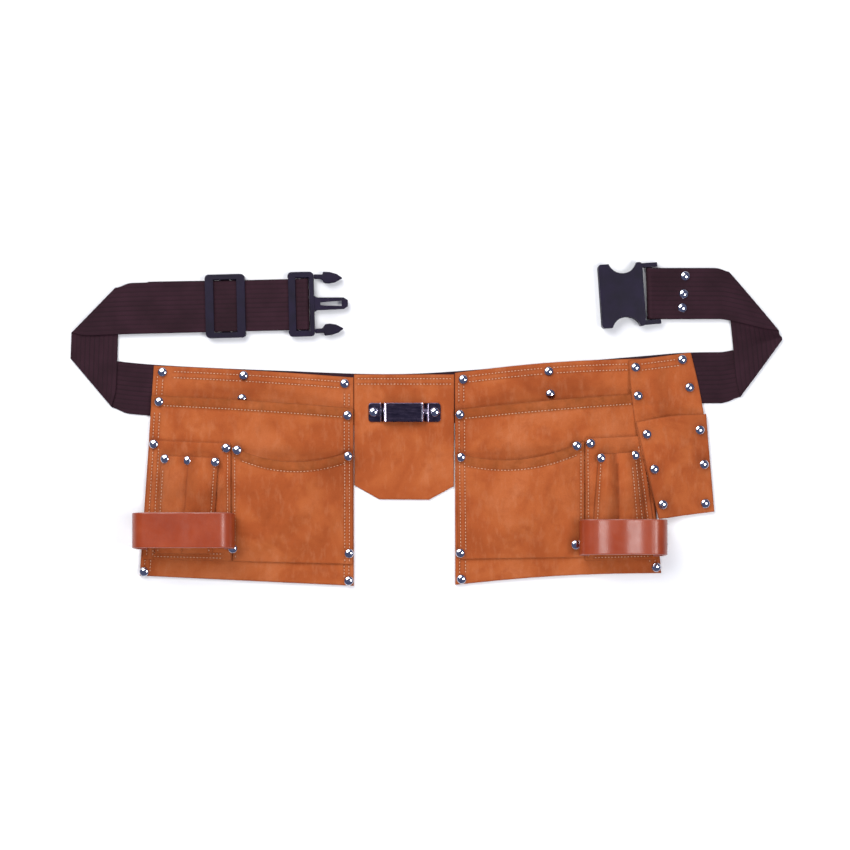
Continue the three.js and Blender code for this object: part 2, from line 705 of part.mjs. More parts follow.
// The left strap end, along its own direction from the upper fold
const leftStrap = new THREE.Group();
leftStrap.position.set(LEFT_UPPER_FOLD.x, LEFT_UPPER_FOLD.y, 0);
leftStrap.rotation.z = degrees(LEFT_UPPER_ANGLE);
leftStrap.add(upperWeb('left_upper_web', {
  barDistance: LEFT_BAR_DISTANCE,
  barRadius: MALE_BAR_RADIUS,
  barZ: MALE_BAR_Z,
  lean: 0,
  tailStart: LEFT_TAIL_START,
  foldLine: degrees((leftRiserAngle - LEFT_UPPER_ANGLE) / 2),
  rivets: [],
}));
const strapSlider = piece('strap_slider', slider(), 'plastic');
strapSlider.position.x = SLIDER_DISTANCE;

const male = new THREE.Group();
male.position.x = PLUG_DISTANCE;
male.add(
  piece('male_buckle', maleFrame(), 'plastic'),
  piece('upper_prong', prong(1), 'plastic'),
  piece('lower_prong', prong(-1), 'plastic'),
);
leftStrap.add(strapSlider, male);

// The right strap end, which runs back towards the left from its upper fold
const rightStrap = new THREE.Group();
rightStrap.position.set(RIGHT_UPPER_FOLD.x, RIGHT_UPPER_FOLD.y, 0);
rightStrap.rotation.z = degrees(RIGHT_UPPER_ANGLE);
const strapRivets = [[67.6, -17.1], [69.0, 0.4], [70.4, 14.0]];
rightStrap.add(
  upperWeb('right_upper_web', {
    barDistance: RIGHT_BAR_DISTANCE,
    barRadius: FEMALE_BAR_RADIUS,
    barZ: FEMALE_BAR_Z,
    lean: FEMALE_LEAN,
    tailStart: RIGHT_TAIL_START,
    foldLine: degrees((rightRiserAngle - RIGHT_UPPER_ANGLE) / 2),
    rivets: strapRivets,
  }),
  ...strapRivets.map(([x, y], i) => piece(
    `strap_rivet_${i + 1}`, rivetGeometry(RISER_Z + 0.1, WEB_TOP).translate(x, y, 0), 'chrome',
  )),
);
const socket = piece('female_buckle', femaleBuckle(), 'plastic');
socket.position.x = RIGHT_BAR_DISTANCE;
socket.rotation.z = degrees(FEMALE_LEAN);
rightStrap.add(socket);
belt.add(leftStrap, rightStrap);

// Origin: middle of the belt's outline, on the surface that it lies on
const bounds = new THREE.Box3().setFromObject(belt);
const middle = bounds.getCenter(new THREE.Vector3());
belt.position.set(-middle.x, -middle.y, -bounds.min.z);

export default belt;
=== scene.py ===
import json
import math

import bmesh
import bpy
import numpy as np
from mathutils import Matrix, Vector


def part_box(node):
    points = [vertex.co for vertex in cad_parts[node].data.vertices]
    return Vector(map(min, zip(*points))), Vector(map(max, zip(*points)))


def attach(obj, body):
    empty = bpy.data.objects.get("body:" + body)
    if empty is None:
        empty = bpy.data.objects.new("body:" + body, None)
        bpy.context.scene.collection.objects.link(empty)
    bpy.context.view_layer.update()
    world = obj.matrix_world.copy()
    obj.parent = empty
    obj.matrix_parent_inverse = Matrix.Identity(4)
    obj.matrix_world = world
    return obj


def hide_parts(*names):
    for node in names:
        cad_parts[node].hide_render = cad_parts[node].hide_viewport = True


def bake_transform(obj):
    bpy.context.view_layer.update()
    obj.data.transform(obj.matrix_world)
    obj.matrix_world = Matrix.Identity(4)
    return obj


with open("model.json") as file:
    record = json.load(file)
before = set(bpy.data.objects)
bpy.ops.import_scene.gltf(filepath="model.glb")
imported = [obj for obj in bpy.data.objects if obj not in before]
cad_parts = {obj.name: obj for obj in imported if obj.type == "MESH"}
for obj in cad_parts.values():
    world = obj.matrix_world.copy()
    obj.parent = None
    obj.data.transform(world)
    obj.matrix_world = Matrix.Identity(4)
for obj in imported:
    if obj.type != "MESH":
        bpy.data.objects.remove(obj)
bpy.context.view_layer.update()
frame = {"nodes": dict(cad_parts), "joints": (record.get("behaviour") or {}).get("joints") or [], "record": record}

# Carpenter's tool belt: suede pouches, a holster and a tape clip on webbing. Lengths are in
# millimetres until a mesh is made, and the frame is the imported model's own.
MM = 0.001

# Stock
WEB_WIDTH = 50.0
WEB_CORE = 1.1
RIB_COUNT = 11
RIB_HEIGHT = 0.22
LEATHER = 1.8
STRAP_LEATHER = 2.6
LIFT = 0.25
LAYER_GAP = 0.5

# Webbing layers, by the height of their middle
WEB_STEP = 1.9
WAIST_MID = 1.0
RISER_MID = WAIST_MID + WEB_STEP
UPPER_MID = RISER_MID + WEB_STEP
WEB_TOP = UPPER_MID + WEB_CORE / 2 + RIB_HEIGHT
FOLD_RADIUS = WEB_STEP / 2

# How far the ends of a fold line are drawn in, and over what length of strap
CORNER_PULL = {"left": 4.2, "right": 2.6}
CORNER_REACH = 9.0

# How far soft webbing gathers towards the outer corner of its riser, and the places between which it does
GATHER = {"left": 2.0, "right": 15.0}
GATHER_START = -32.0
GATHER_LENGTH = 60.0
GATHER_DEPTH = 16.0

# How an upper sheet steps down past the edge of a lower one
STEP_MARGIN = 7.0
STEP_RAMP = 34.0

# Mesh steps
CELL = 1.7
EDGE_RING = 0.5
WEB_ROW = 2.6

# Stitching
STITCH_PITCH = 3.2
STITCH_LENGTH = 1.95
STITCH_WIDTH = 0.72
STITCH_HEIGHT = 0.5
GROOVE_DEPTH = 0.4
GROOVE_WIDTH = 1.1

# Rivets
CAP_RADIUS = 4.6
CAP_HEIGHT = 2.5
CAP_LIP = 0.45
POST_RADIUS = 1.5
BACK_RADIUS = 3.4
BACK_HEIGHT = 0.6
RIVET_SIDES = 28
DIMPLE_DEPTH = 0.45
DIMPLE_RADIUS = 6.5

# Hammer loops: the crown slides along +Y by the shear, from feet set back a little
LOOP_WIDTH = 34.0
LOOP_RISE = 27.0
LOOP_CURL = 6.5
LOOP_FOOT = 3.0
LOOP_SHOULDER = 13.0
LOOP_SHEAR = 4.0
LOOP_SET_BACK = 1.5

# Gentle waves along the crown of a hammer strap
CROWN_WAVE = 0.85
CROWN_WAVELENGTH = 34.0

# Tape clip: its bends lie along X from its middle
CLIP_PLATE = 1.2
CLIP_RISE = 6.2
CLIP_CORNER = 3.0
CLIP_BENDS = [-22.8, -19.2, 17.6, 22.2]

# Camera: straight above, a long lens
LENS = 85.0
SENSOR = 36.0
VIEW_WIDTH = 833.0

# Floor, in metres
FLOOR_SIZE = 3.0
FLOOR_GAP = 0.0004

# Each light's name, place and size in metres, power, and whether shiny pieces mirror it
LIGHTS = [
    ("key", (-0.65, 1.0, 1.4), 1.4, 36, True),
    ("fill", (0.75, -0.1, 1.5), 0.45, 11, True),
    ("low_fill", (0.0, -1.3, 1.2), 1.0, 13, False),
]
SKY_COLOUR = (0.26, 0.30, 0.52, 1.0)
SKY_STRENGTH = 0.35

joints = {joint["name"]: joint for joint in frame["joints"]}


# ---- Placing: the drawing of the belt is shifted so that it is centred in the frame --------

DRAWN_LEFT_WRAP = np.array([-69.8, 25.0])
SHIFT = np.array(joints["left_wrap"]["pos_m"][:2]) / MM - DRAWN_LEFT_WRAP


def placed(x, y):
    return x + SHIFT[0], y + SHIFT[1]


def joint_place(name):
    return np.array(joints[name]["pos_m"][:2]) / MM


def node_box(node):
    low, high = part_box(node)
    return np.array(low) / MM, np.array(high) / MM


# ---- Materials ---------------------------------------------------------------------------


def linear(colour):
    """Scene colour of a hex colour."""
    values = [int(colour[i:i + 2], 16) / 255 for i in (0, 2, 4)]
    return tuple(v / 12.92 if v <= 0.04045 else ((v + 0.055) / 1.055) ** 2.4 for v in values) + (1.0,)


class Finish:
    """A material being made, with short ways to add the nodes that every finish here uses."""

    def __init__(self, name, **sockets):
        self.material = bpy.data.materials.new(name)
        self.material.use_nodes = True
        self.tree = self.material.node_tree
        self.shader = self.tree.nodes["Principled BSDF"]
        for socket, value in sockets.items():
            self.shader.inputs[socket.replace("_", " ")].default_value = value
        coordinates = self.tree.nodes.new("ShaderNodeTexCoord")
        self.place = coordinates.outputs["Object"]

    def link(self, source, target):
        self.tree.links.new(source, target)

    def attribute(self, name, output="Fac"):
        node = self.tree.nodes.new("ShaderNodeAttribute")
        node.attribute_name = name
        return node.outputs[output]

    def scaled(self, vector, scale):
        node = self.tree.nodes.new("ShaderNodeMapping")
        node.inputs["Scale"].default_value = scale
        self.link(vector, node.inputs["Vector"])
        return node.outputs["Vector"]

    def noise(self, scale, detail=3.0, roughness=0.55, vector=None, distortion=0.0):
        node = self.tree.nodes.new("ShaderNodeTexNoise")
        node.inputs["Scale"].default_value = scale
        node.inputs["Detail"].default_value = detail
        node.inputs["Roughness"].default_value = roughness
        node.inputs["Distortion"].default_value = distortion
        self.link(self.place if vector is None else vector, node.inputs["Vector"])
        return node.outputs["Fac"]

    def cells(self, scale, vector=None):
        node = self.tree.nodes.new("ShaderNodeTexVoronoi")
        node.inputs["Scale"].default_value = scale
        self.link(self.place if vector is None else vector, node.inputs["Vector"])
        return node.outputs["Distance"]

    def ramp(self, value, stops):
        node = self.tree.nodes.new("ShaderNodeValToRGB")
        elements = node.color_ramp.elements
        while len(elements) < len(stops):
            elements.new(0.5)
        for element, (at, colour) in zip(elements, stops):
            element.position = at
            element.color = colour if isinstance(colour, tuple) else linear(colour)
        self.link(value, node.inputs["Fac"])
        return node.outputs["Color"]

    def grey(self, value, low, high, dark=0.0, light=1.0):
        return self.ramp(value, [(low, (dark, dark, dark, 1.0)), (high, (light, light, light, 1.0))])

    def mix(self, share, first, second, kind="MIX"):
        node = self.tree.nodes.new("ShaderNodeMix")
        node.data_type = "RGBA"
        node.blend_type = kind
        for value, socket in ((share, node.inputs[0]), (first, node.inputs[6]), (second, node.inputs[7])):
            if isinstance(value, bpy.types.NodeSocket):
                self.link(value, socket)
            elif isinstance(value, str):
                socket.default_value = linear(value)
            else:
                socket.default_value = value
        return node.outputs[2]

    def maths(self, operation, first, second=0.0):
        node = self.tree.nodes.new("ShaderNodeMath")
        node.operation = operation
        for value, socket in ((first, node.inputs[0]), (second, node.inputs[1])):
            if isinstance(value, bpy.types.NodeSocket):
                self.link(value, socket)
            else:
                socket.default_value = value
        return node.outputs[0]

    def bump(self, height, distance, strength=1.0, under=None):
        node = self.tree.nodes.new("ShaderNodeBump")
        node.inputs["Strength"].default_value = strength
        node.inputs["Distance"].default_value = distance
        self.link(height, node.inputs["Height"])
        if under is not None:
            self.link(under, node.inputs["Normal"])
        return node.outputs["Normal"]

    def done(self, colour=None, roughness=None, normal=None):
        for value, socket in ((colour, "Base Color"), (roughness, "Roughness"), (normal, "Normal")):
            if value is not None:
                self.link(value, self.shader.inputs[socket])
        return self.material


def suede_finish():
    finish = Finish("suede", Sheen_Weight=0.22, Sheen_Roughness=0.5)
    finish.shader.inputs["Sheen Tint"].default_value = linear("e8a070")
    finish.shader.inputs["Specular IOR Level"].default_value = 0.2
    broad = finish.noise(17.0, 3.0, 0.6, distortion=0.7)
    colour = finish.ramp(broad, [(0.3, "95461f"), (0.46, "a35026"), (0.58, "ae5b2e"), (0.74, "b7663b")])
    blotch = finish.noise(85.0, 4.0, 0.65)
    colour = finish.mix(finish.grey(blotch, 0.52, 0.72, 0.0, 0.4), colour, "93441f")
    streak = finish.noise(190.0, 3.0, 0.6, vector=finish.scaled(finish.place, (1.0, 0.35, 1.0)))
    colour = finish.mix(finish.grey(streak, 0.5, 0.75, 0.0, 0.3), colour, "bf7c55")
    nap = finish.noise(1500.0, 4.0, 0.7)
    colour = finish.mix(finish.grey(nap, 0.45, 0.75, 0.0, 0.32), colour, "7f3e1e")
    # Painted shade: darker suede in the stitch grooves and in the dimples round the rivets.
    groove = finish.attribute("groove")
    colour = finish.mix(finish.maths("MULTIPLY", groove, 0.7), colour, "77381a")
    rim = finish.grey(finish.attribute("edge"), 0.0, 1.0, 0.5, 0.0)
    colour = finish.mix(rim, colour, "7d3f22")
    # Painted shade: a darker band along each pocket's hem, broken up by the blotch noise.
    wear = finish.maths("MULTIPLY", finish.attribute("wear"), finish.grey(blotch, 0.35, 0.65, 0.4, 1.0))
    colour = finish.mix(wear, colour, "83431b")
    roughness = finish.grey(nap, 0.3, 0.7, 0.82, 0.97)
    coarse = finish.bump(finish.noise(260.0, 5.0, 0.7), 0.0006, 0.45)
    fibre = finish.bump(nap, 0.0004, 0.6, under=coarse)
    return finish.done(colour, roughness, fibre)


def strap_leather_finish():
    finish = Finish("strap_leather", Coat_Weight=0.2, Coat_Roughness=0.25)
    broad = finish.noise(28.0, 3.0, 0.6)
    colour = finish.ramp(broad, [(0.3, "8c3413"), (0.6, "973c19"), (0.8, "9f441f")])
    grain = finish.cells(900.0)
    colour = finish.mix(finish.grey(grain, 0.0, 0.5, 0.25, 0.0), colour, "6e2a14")
    rim = finish.grey(finish.attribute("edge"), 0.0, 0.9, 0.85, 0.0)
    colour = finish.mix(rim, colour, "9a6a62")
    roughness = finish.grey(finish.noise(120.0, 3.0), 0.3, 0.7, 0.3, 0.44)
    pores = finish.bump(grain, 0.00012, 0.35)
    waves = finish.bump(finish.noise(60.0, 2.0), 0.0008, 0.25, under=pores)
    return finish.done(colour, roughness, waves)


def webbing_finish():
    finish = Finish("webbing", Sheen_Weight=0.1, Sheen_Roughness=0.4)
    finish.shader.inputs["Sheen Tint"].default_value = linear("8d6070")
    finish.shader.inputs["Specular IOR Level"].default_value = 0.25
    cloth = finish.attribute("cloth", "Vector")
    rib = finish.attribute("rib")
    yarn = finish.tree.nodes.new("ShaderNodeTexWave")
    yarn.wave_type = "BANDS"
    yarn.bands_direction = "Y"
    yarn.inputs["Scale"].default_value = 330.0
    yarn.inputs["Distortion"].default_value = 0.5
    yarn.inputs["Detail"].default_value = 1.5
    yarn.inputs["Detail Scale"].default_value = 2.0
    finish.link(cloth, yarn.inputs["Vector"])
    strand = finish.tree.nodes.new("ShaderNodeTexWave")
    strand.bands_direction = "X"
    strand.inputs["Scale"].default_value = 420.0
    strand.inputs["Distortion"].default_value = 0.8
    finish.link(cloth, strand.inputs["Vector"])
    weave = finish.mix(0.35, yarn.outputs["Fac"], strand.outputs["Fac"])
    shade = finish.noise(38.0, 2.0, 0.5, vector=cloth)
    colour = finish.ramp(shade, [(0.3, "29101a"), (0.7, "381b27")])
    colour = finish.mix(finish.grey(weave, 0.2, 0.9, 0.55, 0.0), colour, "200d14")
    # Painted shade: darker colour in the valleys between the ribs.
    painted_valley_shade = finish.grey(rib, 0.0, 0.7, 0.92, 0.0)
    colour = finish.mix(painted_valley_shade, colour, "1a0a10")
    fuzz = finish.noise(1300.0, 3.0, 0.7)
    colour = finish.mix(finish.grey(fuzz, 0.55, 0.8, 0.0, 0.3), colour, "55313d")
    roughness = finish.grey(fuzz, 0.3, 0.7, 0.68, 0.88)
    normal = finish.bump(weave, 0.0004, 0.75)
    return finish.done(colour, roughness, normal)


def plastic_finish():
    finish = Finish("buckle_plastic")
    finish.shader.inputs["Specular IOR Level"].default_value = 0.18
    broad = finish.noise(55.0, 2.0)
    colour = finish.ramp(broad, [(0.3, "110a1c"), (0.7, "1a1029")])
    fine = finish.noise(1700.0, 2.0)
    colour = finish.mix(finish.grey(fine, 0.5, 0.8, 0.0, 0.25), colour, "1b152a")
    roughness = finish.grey(finish.noise(240.0, 4.0, 0.7), 0.3, 0.75, 0.34, 0.52)
    normal = finish.bump(fine, 0.00012, 0.35)
    return finish.done(colour, roughness, normal)


def chrome_finish():
    finish = Finish("rivet_chrome", Metallic=1.0)
    tint = finish.noise(300.0, 3.0)
    colour = finish.ramp(tint, [(0.3, "c9cad6"), (0.7, "eceef4")])
    scratch = finish.noise(900.0, 3.0, 0.7, vector=finish.scaled(finish.place, (1.0, 0.2, 1.0)))
    roughness = finish.grey(scratch, 0.4, 0.8, 0.07, 0.2)
    normal = finish.bump(finish.noise(520.0, 2.0), 0.0001, 0.2)
    return finish.done(colour, roughness, normal)


def clip_finish():
    finish = Finish("clip_steel", Metallic=1.0)
    tint = finish.noise(140.0, 3.0)
    colour = finish.ramp(tint, [(0.3, "4d4356"), (0.7, "6a5d72")])
    # Painted highlight: near-white colour on the raised beads at the clip's bends.
    colour = finish.mix(finish.attribute("wear"), colour, "e6dfee")
    brushed = finish.noise(700.0, 3.0, 0.7, vector=finish.scaled(finish.place, (0.08, 1.0, 1.0)))
    roughness = finish.grey(brushed, 0.3, 0.75, 0.14, 0.3)
    normal = finish.bump(brushed, 0.00006, 0.3)
    return finish.done(colour, roughness, normal)


def thread_finish():
    finish = Finish("thread", Sheen_Weight=0.2)
    strand = finish.noise(2600.0, 2.0)
    colour = finish.ramp(strand, [(0.3, "c08a68"), (0.7, "e8c4a4")])
    roughness = finish.grey(strand, 0.3, 0.7, 0.7, 0.9)
    return finish.done(colour, roughness, finish.bump(strand, 0.0002, 0.5))


SUEDE = suede_finish()
STRAP = strap_leather_finish()
WEBBING = webbing_finish()
PLASTIC = plastic_finish()
CHROME = chrome_finish()
CLIP_STEEL = clip_finish()
THREAD = thread_finish()


# ---- Meshes ------------------------------------------------------------------------------


def new_piece(name, points, faces, material, smooth_angle=40.0):
    """A mesh object from points in millimetres."""
    mesh = bpy.data.meshes.new(name)
    mesh.from_pydata((np.asarray(points) * MM).tolist(), [], [list(map(int, f)) for f in faces])
    shape = bmesh.new()
    shape.from_mesh(mesh)
    bmesh.ops.recalc_face_normals(shape, faces=shape.faces)
    shape.to_mesh(mesh)
    shape.free()
    mesh.shade_smooth()
    mesh.set_sharp_from_angle(angle=math.radians(smooth_angle))
    mesh.materials.append(material)
    piece = bpy.data.objects.new(name, mesh)
    bpy.context.scene.collection.objects.link(piece)
    return piece


def set_attribute(piece, name, values, kind="FLOAT"):
    attribute = piece.data.attributes.new(name, kind, "POINT")
    key = "value" if kind == "FLOAT" else "vector"
    attribute.data.foreach_set(key, np.asarray(values, np.float32).ravel())


def slab(name, top, bottom, material, **attributes):
    """A closed sheet from two grids of points, each rows by columns by 3."""
    rows, columns = top.shape[:2]
    index = np.arange(rows * columns).reshape(rows, columns)
    corner = [index[:-1, :-1], index[:-1, 1:], index[1:, 1:], index[1:, :-1]]
    upper = np.stack([c.ravel() for c in corner], 1)
    lower = upper[:, ::-1] + rows * columns
    rim = np.concatenate([index[0, :], index[1:, -1], index[-1, -2::-1], index[-2:0:-1, 0]])
    following = np.roll(rim, -1)
    under = rows * columns
    sides = np.stack([rim, rim + under, following + under, following], 1)
    points = np.concatenate([top.reshape(-1, 3), bottom.reshape(-1, 3)])
    piece = new_piece(name, points, np.concatenate([upper, lower, sides]), material)
    for key, value in attributes.items():
        if value.ndim == 3:
            set_attribute(piece, key, np.concatenate([value.reshape(-1, 3)] * 2), "FLOAT_VECTOR")
        else:
            set_attribute(piece, key, np.concatenate([value.ravel()] * 2))
    return piece


def lathed(name, profile, centre, material, sides=RIVET_SIDES):
    """A closed turned piece. The profile runs from the axis at the bottom to the axis at the top."""
    angles = np.linspace(0, 2 * math.pi, sides, endpoint=False)
    rings = [
        np.stack([r * np.cos(angles), r * np.sin(angles), np.full(sides, z)], 1)
        for r, z in profile[1:-1]
    ]
    points = np.concatenate([[[0, 0, profile[0][1]]], *rings, [[0, 0, profile[-1][1]]]])
    faces = []
    last = len(points) - 1
    for i in range(sides):
        j = (i + 1) % sides
        faces.append((0, 1 + j, 1 + i))
        faces.append((last, last - sides + i, last - sides + j))
        for ring in range(len(rings) - 1):
            a = 1 + ring * sides
            faces.append((a + i, a + j, a + sides + j, a + sides + i))
    return new_piece(name, points + np.array([*centre, 0.0]), faces, material)


def smoothstep(value, low, high):
    t = np.clip((value - low) / (high - low), 0, 1)
    return t * t * (3 - 2 * t)


# ---- Leather sheets that lie on each other --------------------------------------------------


def none(u):
    return 0.0 * u


def hump(height):
    return lambda u: -height * np.sin(np.pi * u)


def scoop(depth):
    return lambda u: depth * np.abs(np.sin(np.pi * u)) ** 0.8


def chamfer(depth, share):
    return lambda u: depth * np.clip(np.minimum(u, 1 - u) / share, 0, 1)


def shoulder_bow(depth):
    return lambda v: depth * np.sin(np.pi * np.clip(v, 0, 1) ** 1.3)


def node_corners(node):
    """A sheet node's corners, in the order top left, top right, bottom right, bottom left."""
    points = np.array([v.co[:2] for v in frame["nodes"][node].data.vertices]) / MM
    reaches = [(-1, 1), (1, 1), (1, -1), (-1, -1)]
    return [points[np.argmax(points @ np.array(reach))] for reach in reaches]


class Outline:
    """A four-cornered outline. Its top and bottom edges can drop, and its sides can bow outwards."""

    def __init__(self, corners, top_drop, bottom_drop, left_bow, right_bow):
        self.tl, self.tr, self.br, self.bl = corners
        self.left_bow = left_bow
        self.right_bow = right_bow
        self.top_drop = top_drop
        self.bottom_drop = bottom_drop
        self.width = (self.tr[0] - self.tl[0] + self.br[0] - self.bl[0]) / 2
        self.height = (self.tl[1] - self.bl[1] + self.tr[1] - self.br[1]) / 2

    def point(self, u, v):
        x = (1 - v) * ((1 - u) * self.bl[0] + u * self.br[0]) + v * ((1 - u) * self.tl[0] + u * self.tr[0])
        y = (1 - v) * ((1 - u) * self.bl[1] + u * self.br[1]) + v * ((1 - u) * self.tl[1] + u * self.tr[1])
        bowed = x + self.right_bow(v) * u - self.left_bow(v) * (1 - u)
        return bowed, y - self.top_drop(u) * v * v - self.bottom_drop(u) * (1 - v) ** 2

    def place(self, x, y):
        u = np.full(np.shape(x), 0.5)
        for _ in range(3):
            bottom = (1 - u) * self.bl[1] + u * self.br[1]
            top = (1 - u) * self.tl[1] + u * self.tr[1]
            v = (y - bottom) / (top - bottom)
            left = (1 - v) * self.bl[0] + v * self.tl[0] - self.left_bow(v)
            right = (1 - v) * self.br[0] + v * self.tr[0] + self.right_bow(v)
            u = (x - left) / (right - left)
        return u, v

    def cover(self, x, y):
        u, v = self.place(x, y)
        across = (np.abs(u - 0.5) - 0.5) * self.width
        along = (np.abs(v - 0.5) - 0.5) * self.height
        return 1 - smoothstep(np.maximum(across, along), STEP_MARGIN, STEP_MARGIN + STEP_RAMP)

    def holds(self, x, y):
        """Whether points are inside the cut outline."""
        u, v = self.place(x, y)
        low, high = self.point(u, 0.0 * u)[1], self.point(u, 0.0 * u + 1)[1]
        return (u > 0) & (u < 1) & (y > low) & (y < high)


def pocket_bulge(height):
    def lift(u, v):
        across = np.maximum(0, 1 - (2 * u - 1) ** 2) ** 1.5
        return height * across * np.sin(np.minimum(1, v / 0.7) * np.pi / 2)
    return lift


def tube_bulge(height, seams):
    def lift(u, v):
        across = 0.0 * u
        for start, end in zip(seams, seams[1:]):
            inside = (u >= start) & (u <= end)
            across = np.where(inside, np.abs(np.sin(np.pi * (u - start) / (end - start))), across)
        return height * across ** 0.8 * np.minimum(1, v / 0.12)
    return lift


def ripples(seed, wavelengths):
    """Soft random waves between 0 and 1, for leather that doesn't lie quite flat."""
    rng = np.random.default_rng(seed)
    waves = [(rng.uniform(0, 2 * np.pi), length, rng.uniform(0, 2 * np.pi)) for length in wavelengths]

    def height(x, y):
        total = sum(np.sin(2 * np.pi * (x * np.cos(a) + y * np.sin(a)) / l + p) for a, l, p in waves)
        return 0.5 + 0.5 * total / len(waves)
    return height


class Webs:
    """The webbing behind the leather, as the lowest layer."""

    def __init__(self, line):
        self.line = line
        self.outline = self
        self.name = "webbing"

    def cover(self, x, y):
        middle = np.interp(x, self.line[:, 0], self.line[:, 1])
        return 1 - smoothstep(np.abs(y - middle) - WEB_WIDTH / 2, STEP_MARGIN, STEP_MARGIN + STEP_RAMP)

    def top(self, x, y):
        return 0.0 * x + WAIST_MID + WEB_CORE / 2 + RIB_HEIGHT + 0.15


class Sheet:
    """A piece of suede that rests on lower layers. rows are its stitch rows: edge, inset, from, to."""

    def __init__(self, name, below, seed, bulge=None, top_drop=none, bottom_drop=none, hem=0.0,
                 rows=(), slack=0.0, left_bow=none, right_bow=none):
        self.name = name
        self.below = below
        self.bulge = bulge
        self.hem = hem
        self.rows = rows
        self.slack = slack
        self.outline = Outline(node_corners(name), top_drop, bottom_drop, left_bow, right_bow)
        self.ripple = ripples(seed, [31.0, 44.0, 23.0, 58.0, 37.0])
        self.wrinkle = ripples(seed + 50, [11.0, 15.0, 9.0, 19.0, 13.0, 24.0])
        self.rivets = []

    def base(self, x, y):
        u, v = self.outline.place(x, y)
        rest = 0.0 * x + LIFT
        for layer in self.below:
            rest = np.maximum(rest, layer.outline.cover(x, y) * layer.top(x, y))
        u, v = np.clip(u, 0, 1), np.clip(v, 0, 1)
        loose = (4 * u * (1 - u)) ** 0.7 * np.minimum(1, v / 0.25)
        lift = self.slack * self.ripple(x, y) * loose
        if self.bulge:
            lift = lift + self.bulge(u, v)
        return rest + lift

    def hem_lift(self, x, y):
        if not self.hem:
            return 0.0 * x
        u, _ = self.outline.place(x, y)
        below_edge = self.outline.point(u, 0.0 * u + 1)[1] - y
        turned = 1 - smoothstep(below_edge, self.hem - 1.5, self.hem + 0.8)
        rolled = np.sin(np.pi * np.clip(below_edge / self.hem, 0, 1)) ** 0.7
        return (0.75 + 0.65 * rolled) * turned

    def top(self, x, y):
        return self.base(x, y) + self.hem_lift(x, y) + LEATHER + LAYER_GAP

    def row_points(self, row, step=0.8):
        """Points along a stitch row, evenly spaced."""
        edge, inset, start, end = row
        span = np.linspace(start, end, 400)
        across, along = inset / self.outline.width, inset / self.outline.height
        steady = 0.0 * span
        u, v = {
            "top": (span, steady + 1 - along),
            "bottom": (span, steady + along),
            "left": (steady + across, span),
            "right": (steady + 1 - across, span),
            "seam": (steady + inset, span),
        }[edge]
        x, y = self.outline.point(u, v)
        if edge == "top":
            y = self.outline.point(u, steady + 1)[1] - inset
        far = np.concatenate([[0], np.cumsum(np.hypot(np.diff(x), np.diff(y)))])
        at = np.arange(0, far[-1], step)
        return np.stack([np.interp(at, far, x), np.interp(at, far, y)], 1)

    def groove(self, x, y):
        """1 in the middle of a stitch row, falling to 0 beside it."""
        deepest = 0.0 * x
        for row in self.rows:
            line = self.row_points(row, 1.5)
            low, high = line.min(0) - 4, line.max(0) + 4
            near = (x > low[0]) & (x < high[0]) & (y > low[1]) & (y < high[1])
            if not near.any():
                continue
            gap = np.stack([x[near], y[near]], 1)[:, None, :] - line[None, :, :]
            distance = np.sqrt((gap ** 2).sum(2)).min(1)
            deepest[near] = np.maximum(deepest[near], np.exp(-(distance / GROOVE_WIDTH) ** 2))
        return deepest

    def dimple(self, x, y):
        pressed = 0.0 * x
        for cx, cy in self.rivets:
            pressed = np.maximum(pressed, np.exp(-((x - cx) ** 2 + (y - cy) ** 2) / DIMPLE_RADIUS ** 2))
        return pressed

    def detail(self, x, y):
        rough = 0.22 * (self.wrinkle(x, y) - 0.5)
        sunk = GROOVE_DEPTH * self.groove(x, y) + DIMPLE_DEPTH * self.dimple(x, y)
        return rough - np.minimum(sunk, 0.6)

    def surface(self, x, y):
        return self.base(x, y) + self.hem_lift(x, y) + LEATHER + self.detail(x, y)

    def edges(self, length):
        count = max(4, round(length / CELL))
        inner = np.linspace(EDGE_RING / length, 1 - EDGE_RING / length, count)
        return np.concatenate([[0.0], inner, [1.0]])

    def build(self):
        u, v = np.meshgrid(self.edges(self.outline.width), self.edges(self.outline.height))
        x, y = self.outline.point(u, v)
        low = self.base(x, y)
        high = self.surface(x, y)
        rim = np.zeros(u.shape, bool)
        rim[0, :] = rim[-1, :] = rim[:, 0] = rim[:, -1] = True
        across = np.minimum(u, 1 - u) * self.outline.width
        along = np.minimum(v, 1 - v) * self.outline.height
        edge = np.minimum(across, along)
        high = np.where(rim, high - 0.4, high)
        # Painted shade along the hem band under a pocket's mouth.
        wear = self.mouth_wear(x, y, v)
        top = np.stack([x, y, high], 2)
        bottom = np.stack([x, y, low], 2)
        # The groove mask also paints shade into the stitch grooves and rivet dimples.
        piece = slab(
            f"{self.name}_suede", top, bottom, SUEDE,
            groove=np.maximum(self.groove(x, y), 0.8 * self.dimple(x, y)), edge=edge, wear=wear,
        )
        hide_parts(self.name)
        return piece

    def mouth_wear(self, x, y, v):
        """Painted shade: a darker band of suede along a pocket's mouth, over its hem."""
        if not self.hem:
            return 0.0 * x
        u, _ = self.outline.place(x, y)
        below_edge = self.outline.point(u, 0.0 * u + 1)[1] - y
        return 0.8 * (1 - smoothstep(below_edge, self.hem - 3, self.hem + 2))


# The waist webbing's middle line, from the left fold to the right one
WAIST_POINTS = [
    (-327, 40.4), (-265, 34), (-150, 28.5), (-20, 25), (110, 34), (209, 42), (262, 46), (329, 46),
]


def smooth_line(points, steps):
    """A Catmull-Rom line through points."""
    p = np.array([points[0], *points, points[-1]], float)
    line = []
    for a, b, c, d in zip(p, p[1:], p[2:], p[3:]):
        for t in np.linspace(0, 1, steps, endpoint=False):
            line.append(b + 0.5 * t * (c - a + t * (2 * a - 5 * b + 4 * c - d + t * (3 * (b - c) + d - a))))
    return np.array([*line, p[-1]])


waist_line = smooth_line([placed(x, y) for x, y in WAIST_POINTS], 24)
webs = Webs(waist_line)


